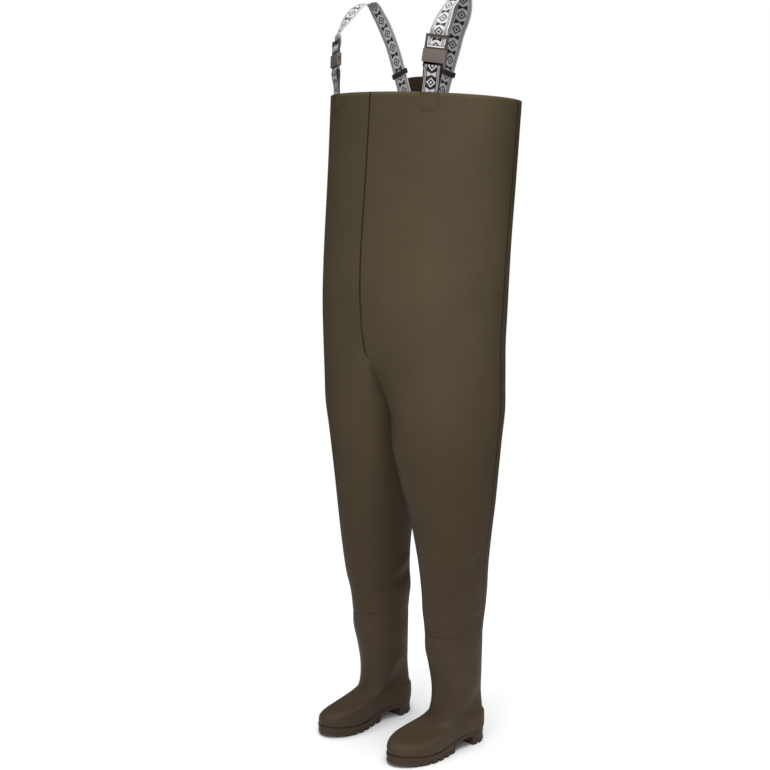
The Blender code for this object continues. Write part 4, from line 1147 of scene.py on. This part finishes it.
def along_path(points, count, carried=None):
    """A cubic through points at count places evenly along it, or what the points carry there."""
    points = np.asarray(points, float)
    marks = np.concatenate([[0], np.cumsum(np.linalg.norm(np.diff(points, axis=0), axis=1))])
    values = points if carried is None else np.asarray(carried, float)
    places = np.linspace(0, marks[-1], count)
    return np.stack([eased(places, np.column_stack([marks, v]), 1) for v in values.T], -1)


def short_route(w, axes, turned, here, depth):
    """The short webbing: up inside the bib, over the socket's bar, and back down behind itself."""
    t = w.thickness
    front = -(depth + GAP + t / 2)
    back = front - t - GAP
    clear = BAR_HALF * math.sqrt(2) + GAP + t / 2
    turn = np.radians([0, 30, 60, 90, 120, 150, 180])
    over = np.stack([0 * turn, SOCKET_BAR + clear * np.sin(turn), clear * np.cos(turn)], -1)
    low = [(0, SOCKET_BAR / 3, front * 0.7)]
    low_back = [(0, SOCKET_BAR / 3, front * 0.7 - t - 2 * GAP)]
    path = np.vstack([
        placed([(0, -TUCK, front), (0, 0, front)], axes, here),
        placed(np.vstack([low, over, low_back]), turned, here),
        placed([(0, 0, back), (0, -TUCK, back)], axes, here),
    ])
    widths = np.array([axes[:, 0]] * 2 + [turned[:, 0]] * (len(over) + 2) + [axes[:, 0]] * 2)
    return path, widths


def ladder_route(w):
    """The long webbing through its adjuster: up behind, round the middle bar, and behind the top bar."""
    reach = w.thickness / 2 + 2 * GAP
    front, behind = MIDDLE_BAR_HALF + reach, BAR_HALF + reach
    tail = behind + w.thickness + 2 * GAP
    (low, middle, high), (top_low, top) = MIDDLE_BAR, TOP_BAR
    route = np.array([
        (FRAME_END, -tail),
        (top, -tail),
        (top_low - reach, -tail),
        (high + 2 * reach, -front - reach),
        (middle, -front),
        (low - 0.7 * reach, -0.75 * front),
        (low - 1.05 * reach, 0),
        (low - 0.7 * reach, 0.75 * front),
        (middle, front),
        (high + reach, front - 0.1 * reach),
        (top_low - 1.6 * reach, -behind + 0.9 * reach),
        (top_low - 0.4 * reach, -behind),
        (top, -behind),
        (FRAME_END + 3 * reach, -behind),
    ])
    return np.insert(route, 0, 0.0, axis=1)


def brace_route(s, w, axes, here, side):
    """The long webbing: through the adjuster, over the shoulder, and down the back to the yoke."""
    ladder = placed(ladder_route(w), axes, here)
    rim = rim_height(s, s.axis_y)
    twist = SHOULDER_TWIST if side == 1 else 0.0
    ahead, level = axes[:, 0], np.array((1.0, 0, 0))
    turned = np.array((math.cos(twist), side * math.sin(twist), 0))
    arch = [
        (
            np.array((side * spread * w.spread, s.axis_y - sweep * w.sweep, rim + rise * w.rise)),
            unit(level * (1 - turn) + turned * turn),
        )
        for spread, sweep, rise, turn in ARCH
    ]
    front = s.axis_y - YOKE_HALF - GAP - w.thickness / 2
    low = np.array((side * YOKE_JOIN, front, rim + YOKE_RISE - STITCHED_END))
    run = unit((side * SLIDE_LEAN, 0, STITCHED_END))
    flat = unit(np.cross(run, (0, -1.0, 0)))
    top = low + run * SLIDE_TOP
    start = ladder[-1]
    over = [
        (start, ahead), (start + 0.15 * (arch[0][0] - start), ahead),
        *arch, (top + run * SLIDE_HEIGHT, flat), (top, flat),
    ]
    points = along_path([p for p, _ in over], BRACE_POINTS)
    widths = along_path([p for p, _ in over], BRACE_POINTS, [v for _, v in over])
    path = np.vstack([ladder[:-1], points, low + run * STITCHED_END, low])
    widths = np.vstack([np.repeat(ahead[None], len(ladder) - 1, axis=0), widths, flat, flat])
    return path, widths


def back_route(s, w, axes, here, depth):
    """The single strap: up inside the back from its weld, then forward and up behind the yoke."""
    t, bend = w.thickness, BACK_BEND
    weld = placed([(0, up, -(depth + GAP + t / 2)) for up in (-TUCK, 0, bend / 4)], axes, here)
    behind = s.axis_y + YOKE_HALF + GAP + t / 2
    top = rim_height(s, s.axis_y) + YOKE_RISE - w.yoke_height
    arch, span = weld[-1][2] + bend * 0.15, weld[-1][1] - behind
    points = [
        *weld[1:],
        (0, behind + span - bend * 0.5, arch),
        (0, behind + span * 0.55, arch),
        (0, behind + bend, top - bend * 0.3),
        (0, behind + bend * 0.2, top + bend * 0.2),
        (0, behind, top + bend * 0.8),
    ]
    path = np.vstack([weld[0], along_path(points, BACK_POINTS), (0, behind, top + bend * 1.8)])
    path[:, 0] = 0
    return path, np.repeat([[-1.0, 0, 0]], len(path), axis=0)


def webbing(name, w, path, widths, material, spacing=0.0035):
    """Webbing along a path: a flat profile with rounded selvedges, and its UV map in metres."""
    length = np.linalg.norm(np.diff(path, axis=0), axis=1).sum()
    count = int(length / spacing)
    fine = along_path(path, count)
    sideways = along_path(path, count, widths)
    tangent = np.gradient(fine, axis=0)
    tangent /= np.linalg.norm(tangent, axis=1)[:, None]
    sideways -= tangent * (sideways * tangent).sum(axis=1)[:, None]
    sideways /= np.linalg.norm(sideways, axis=1)[:, None]
    out = np.cross(sideways, tangent)
    across = np.concatenate([WEB_ACROSS, WEB_ACROSS[-2:0:-1]])
    lift = np.concatenate([WEB_LIFT, -WEB_LIFT[-2:0:-1]])
    rings = (
        fine[:, None] + sideways[:, None] * across[None, :, None] * w.width / 2
        + out[:, None] * lift[None, :, None] * w.thickness
    )
    around = len(across)
    run = np.concatenate([[0], np.cumsum(np.linalg.norm(np.diff(fine, axis=0), axis=1))])
    begin = across * w.width / 2
    end = np.roll(begin, -1)
    shift = np.where(np.arange(around) < len(WEB_ACROSS) - 1, 0.0, BACK_SHIFT)
    u = np.stack([begin + shift, begin + shift, end + shift, end + shift], -1)
    u = np.broadcast_to(u[None], (count - 1, around, 4))
    v = np.stack([run[:-1], run[1:], run[1:], run[:-1]], -1)
    v = np.broadcast_to(v[:, None], (count - 1, around, 4))
    uvs = np.stack([u, v], -1).reshape(-1, 2)
    return loft(name, rings, material, 50, uvs)


class WADER_OT_webbing(bpy.types.Operator):
    """Short straps on the bib, long braces over the shoulders and the single strap at the back"""

    bl_idname = "wader.webbing"
    bl_label = "Webbing"

    def execute(self, context):
        s, w = context.scene.wader_body, context.scene.wader_braces
        pale = woven_webbing("jacquard_webbing", w.pale, w.dark, w.motif)
        dark = woven_webbing("jacquard_webbing_reverse", w.dark, w.pale, w.motif)
        for side, tag in ((1, "left"), (-1, "right")):
            axes, here, depth = anchor(FRONT_ANCHOR, side)
            turned = tilted(axes, side * BUCKLE_TILT)
            route = short_route(w, axes, turned, here, depth)
            settle(webbing("strap_short_" + tag, w, *route, dark, 0.0025), "webbing", "strap_lower_" + tag)
            route = brace_route(s, w, turned, here, side)
            settle(webbing("brace_" + tag, w, *route, pale, 0.0025), "webbing", "strap_long_" + tag)
        axes, here, depth = anchor(BACK_ANCHOR)
        route = back_route(s, w, axes, here, depth)
        settle(webbing("back_webbing", w, *route, pale), "webbing", "strap_back")
        return {"FINISHED"}


def softened(node, name, material, width):
    """A copy of a node with its doubles merged, its flat faces joined and its edges rounded."""
    piece = bpy.data.objects.new(name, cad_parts[node].data.copy())
    bpy.context.collection.objects.link(piece)
    shell = bmesh.new()
    shell.from_mesh(piece.data)
    bmesh.ops.remove_doubles(shell, verts=shell.verts, dist=1e-5)
    bmesh.ops.dissolve_limit(shell, angle_limit=math.radians(1), verts=shell.verts, edges=shell.edges)
    shell.to_mesh(piece.data)
    shell.free()
    piece.data.materials.clear()
    piece.data.materials.append(material)
    edge = piece.modifiers.new("Edge", "BEVEL")
    edge.width = width
    edge.segments = 3
    edge.limit_method = "ANGLE"
    edge.angle_limit = math.radians(35)
    piece.data.shade_smooth()
    return piece


class WADER_OT_buckles(bpy.types.Operator):
    """Side-release buckles with their adjusters, and the slides on the back"""

    bl_idname = "wader.buckles"
    bl_label = "Buckles"

    def execute(self, context):
        w = context.scene.wader_braces
        for node, tone, width in (
            ("buckle_socket_", w.acetal, 0.0015), ("buckle_plug_", w.acetal_dark, 0.0007),
            ("slide_", w.acetal_slide, 0.0007),
        ):
            acetal = moulded("moulded_acetal_" + node.rstrip("_"), tone, 0.38, BUCKLE_GRAIN)
            for tag in ("left", "right"):
                piece = softened(node + tag, "moulded_" + node + tag, acetal, width)
                settle(piece, "buckle", node + tag)
        return {"FINISHED"}


# The yoke's section from its middle to its welted edge: shares of the way out and of half its thickness.
YOKE_OUT = np.array([0.03, 0.3, 0.6, 0.86, 0.89, 0.92, 0.96, 0.985, 1.0])
YOKE_LIFT = np.array([0.8, 0.8, 0.8, 0.8, 0.5, 0.85, 1.0, 0.7, 0.0])


class WADER_OT_yoke(bpy.types.Operator):
    """The patch between the shoulders, rounded and welted round its edge"""

    bl_idname = "wader.yoke"
    bl_label = "Yoke"

    def execute(self, context):
        s, w = context.scene.wader_body, context.scene.wader_braces
        angle = np.arange(96) * 2 * math.pi / 96
        up = np.sign(np.cos(angle)) * np.abs(np.cos(angle)) ** 0.5
        out = np.sign(np.sin(angle)) * np.abs(np.sin(angle)) ** 0.5
        half = YOKE_FOOT + YOKE_FLARE * (up + 1) / 2
        plan = np.stack([out * half, up * w.yoke_height / 2], -1)
        lift = YOKE_LIFT * YOKE_HALF
        scale = np.concatenate([YOKE_OUT, YOKE_OUT[-2::-1]])
        depth = np.concatenate([-lift, lift[-2::-1]])
        height = rim_height(s, s.axis_y) + YOKE_RISE - w.yoke_height / 2
        rings = np.stack([
            plan[None, :, 0] * scale[:, None],
            s.axis_y + depth[:, None] + 0 * plan[None, :, 0],
            height + plan[None, :, 1] * scale[:, None],
        ], -1)
        piece = loft("moulded_yoke", rings, bpy.data.materials["moulded_pvc"])
        settle(piece, "boot_pvc", "yoke")
        return {"FINISHED"}


# The key light's distance before the body's axis, to its left, its height, the height that it is aimed
# at, and its size. The overhead light is as soft as its angle is wide. Radii of the floor's rings.
KEY_BACK = 3.4
KEY_LEFT = 0.1
KEY_HEIGHT = 2.3
KEY_AIM = 1.3
KEY_SIZE = 4.0
OVERHEAD_HEIGHT = 4.0
OVERHEAD_ANGLE = math.radians(60)
FLOOR_RADII = (0.3, 0.6, 1.0, 1.5)


class WADER_OT_stage(bpy.types.Operator):
    """Pale floor, white surroundings, soft lights and the camera"""

    bl_idname = "wader.stage"
    bl_label = "Stage"

    def execute(self, context):
        g, s = context.scene.wader_stage, context.scene.wader_body
        white = {"Base_Color": (0.93, 0.93, 0.93, 1), "Roughness": 1.0, "Specular_IOR_Level": 0.0}
        paper, _, _ = principled("white_paper", **white)
        angle = np.arange(g.points) * 2 * math.pi / g.points
        radius = np.array(FLOOR_RADII)[:, None]
        flat = [radius * np.cos(angle), radius * np.sin(angle), 0 * radius * angle - GAP]
        flat = np.stack(flat, -1).reshape(-1, 3)
        faces = grid_faces(len(FLOOR_RADII), g.points, closed=True)
        floor = mesh_piece("floor", flat, faces, paper, (range(g.points),))
        world = context.scene.world or bpy.data.worlds.new("World")
        context.scene.world = world
        world.use_nodes = True
        tree = world.node_tree
        sky = tree.nodes["Background"]
        seen = add(tree, "LightPath").outputs["Is Camera Ray"]
        strength = add(tree, "MapRange", {0: seen, 3: g.sky, 4: 1.0}).outputs[0]
        tree.links.new(strength, sky.inputs["Strength"])
        sky.inputs["Color"].default_value = (1, 1, 1, 1)
        across = np.array((math.cos(g.azimuth), math.sin(g.azimuth), 0))
        ahead = np.array((-math.sin(g.azimuth), math.cos(g.azimuth), 0))
        up = np.array((0, 0, 1.0))
        key_place = ahead * -KEY_BACK - across * KEY_LEFT + up * KEY_HEIGHT
        towards = unit(np.array((0, s.axis_y, KEY_AIM)) - key_place)
        lamp("key", "AREA", g.key, key_place, towards, size=KEY_SIZE)
        lamp("overhead", "SUN", g.sun, up * OVERHEAD_HEIGHT, -up, angle=OVERHEAD_ANGLE)
        camera = bpy.data.cameras.new("camera")
        camera.lens = g.lens
        camera.sensor_width = 36
        right = across * math.cos(g.pan) - ahead * math.sin(g.pan)
        level = ahead * math.cos(g.pan) + across * math.sin(g.pan)
        view = level * math.cos(g.tilt) + up * math.sin(g.tilt)
        crown = up * math.cos(g.tilt) - level * math.sin(g.tilt)
        place = ahead * -g.distance + (0, s.axis_y, g.height)
        context.scene.camera = stand("camera", camera, (right, crown, -view), place)
        context.scene.view_settings.view_transform = "Standard"
        return {"FINISHED"}


def stand(name, data, axes, place):
    """Puts a lamp or camera at a place, with its three axes along the given directions."""
    item = bpy.data.objects.new(name, data)
    bpy.context.collection.objects.link(item)
    item.matrix_world = Matrix([(*(axis[i] for axis in axes), place[i]) for i in range(3)] + [(0, 0, 0, 1)])
    return item


def lamp(name, kind, power, place, direction, **settings):
    """A lamp at a place, shining along a direction."""
    light = bpy.data.lights.new(name, kind)
    light.energy = power
    for key, value in settings.items():
        setattr(light, key, value)
    side = unit(np.cross(direction, (0.001, 0.002, 1)))
    stand(name, light, (side, np.cross(side, direction), -direction), place)


class WADER_PT_panel(bpy.types.Panel):
    """Lists the wader's pieces"""

    bl_idname = "WADER_PT_panel"
    bl_label = "Chest Wader"
    bl_space_type = "VIEW_3D"
    bl_region_type = "UI"
    bl_category = "Wader"

    def draw(self, context):
        for operator in OPERATORS:
            self.layout.operator(operator.bl_idname, text=operator.bl_label)


GROUPS = {
    "wader_body": WaderBody,
    "wader_boots": WaderBoots,
    "wader_braces": WaderBraces,
    "wader_stage": WaderStage,
}
OPERATORS = (
    WADER_OT_stage, WADER_OT_skin, WADER_OT_seams, WADER_OT_patches, WADER_OT_boots,
    WADER_OT_soles, WADER_OT_webbing, WADER_OT_buckles, WADER_OT_yoke,
)


def register():
    for item in (*GROUPS.values(), *OPERATORS, WADER_PT_panel):
        bpy.utils.register_class(item)
    for name, group in GROUPS.items():
        setattr(bpy.types.Scene, name, PointerProperty(type=group))


def unregister():
    for name in GROUPS:
        delattr(bpy.types.Scene, name)
    for item in reversed((*GROUPS.values(), *OPERATORS, WADER_PT_panel)):
        bpy.utils.unregister_class(item)


def main():
    register()
    for operator in OPERATORS:
        group, name = operator.bl_idname.split(".")
        getattr(getattr(bpy.ops, group), name)()
    bpy.context.view_layer.update()


if __name__ == "__main__":
    main()
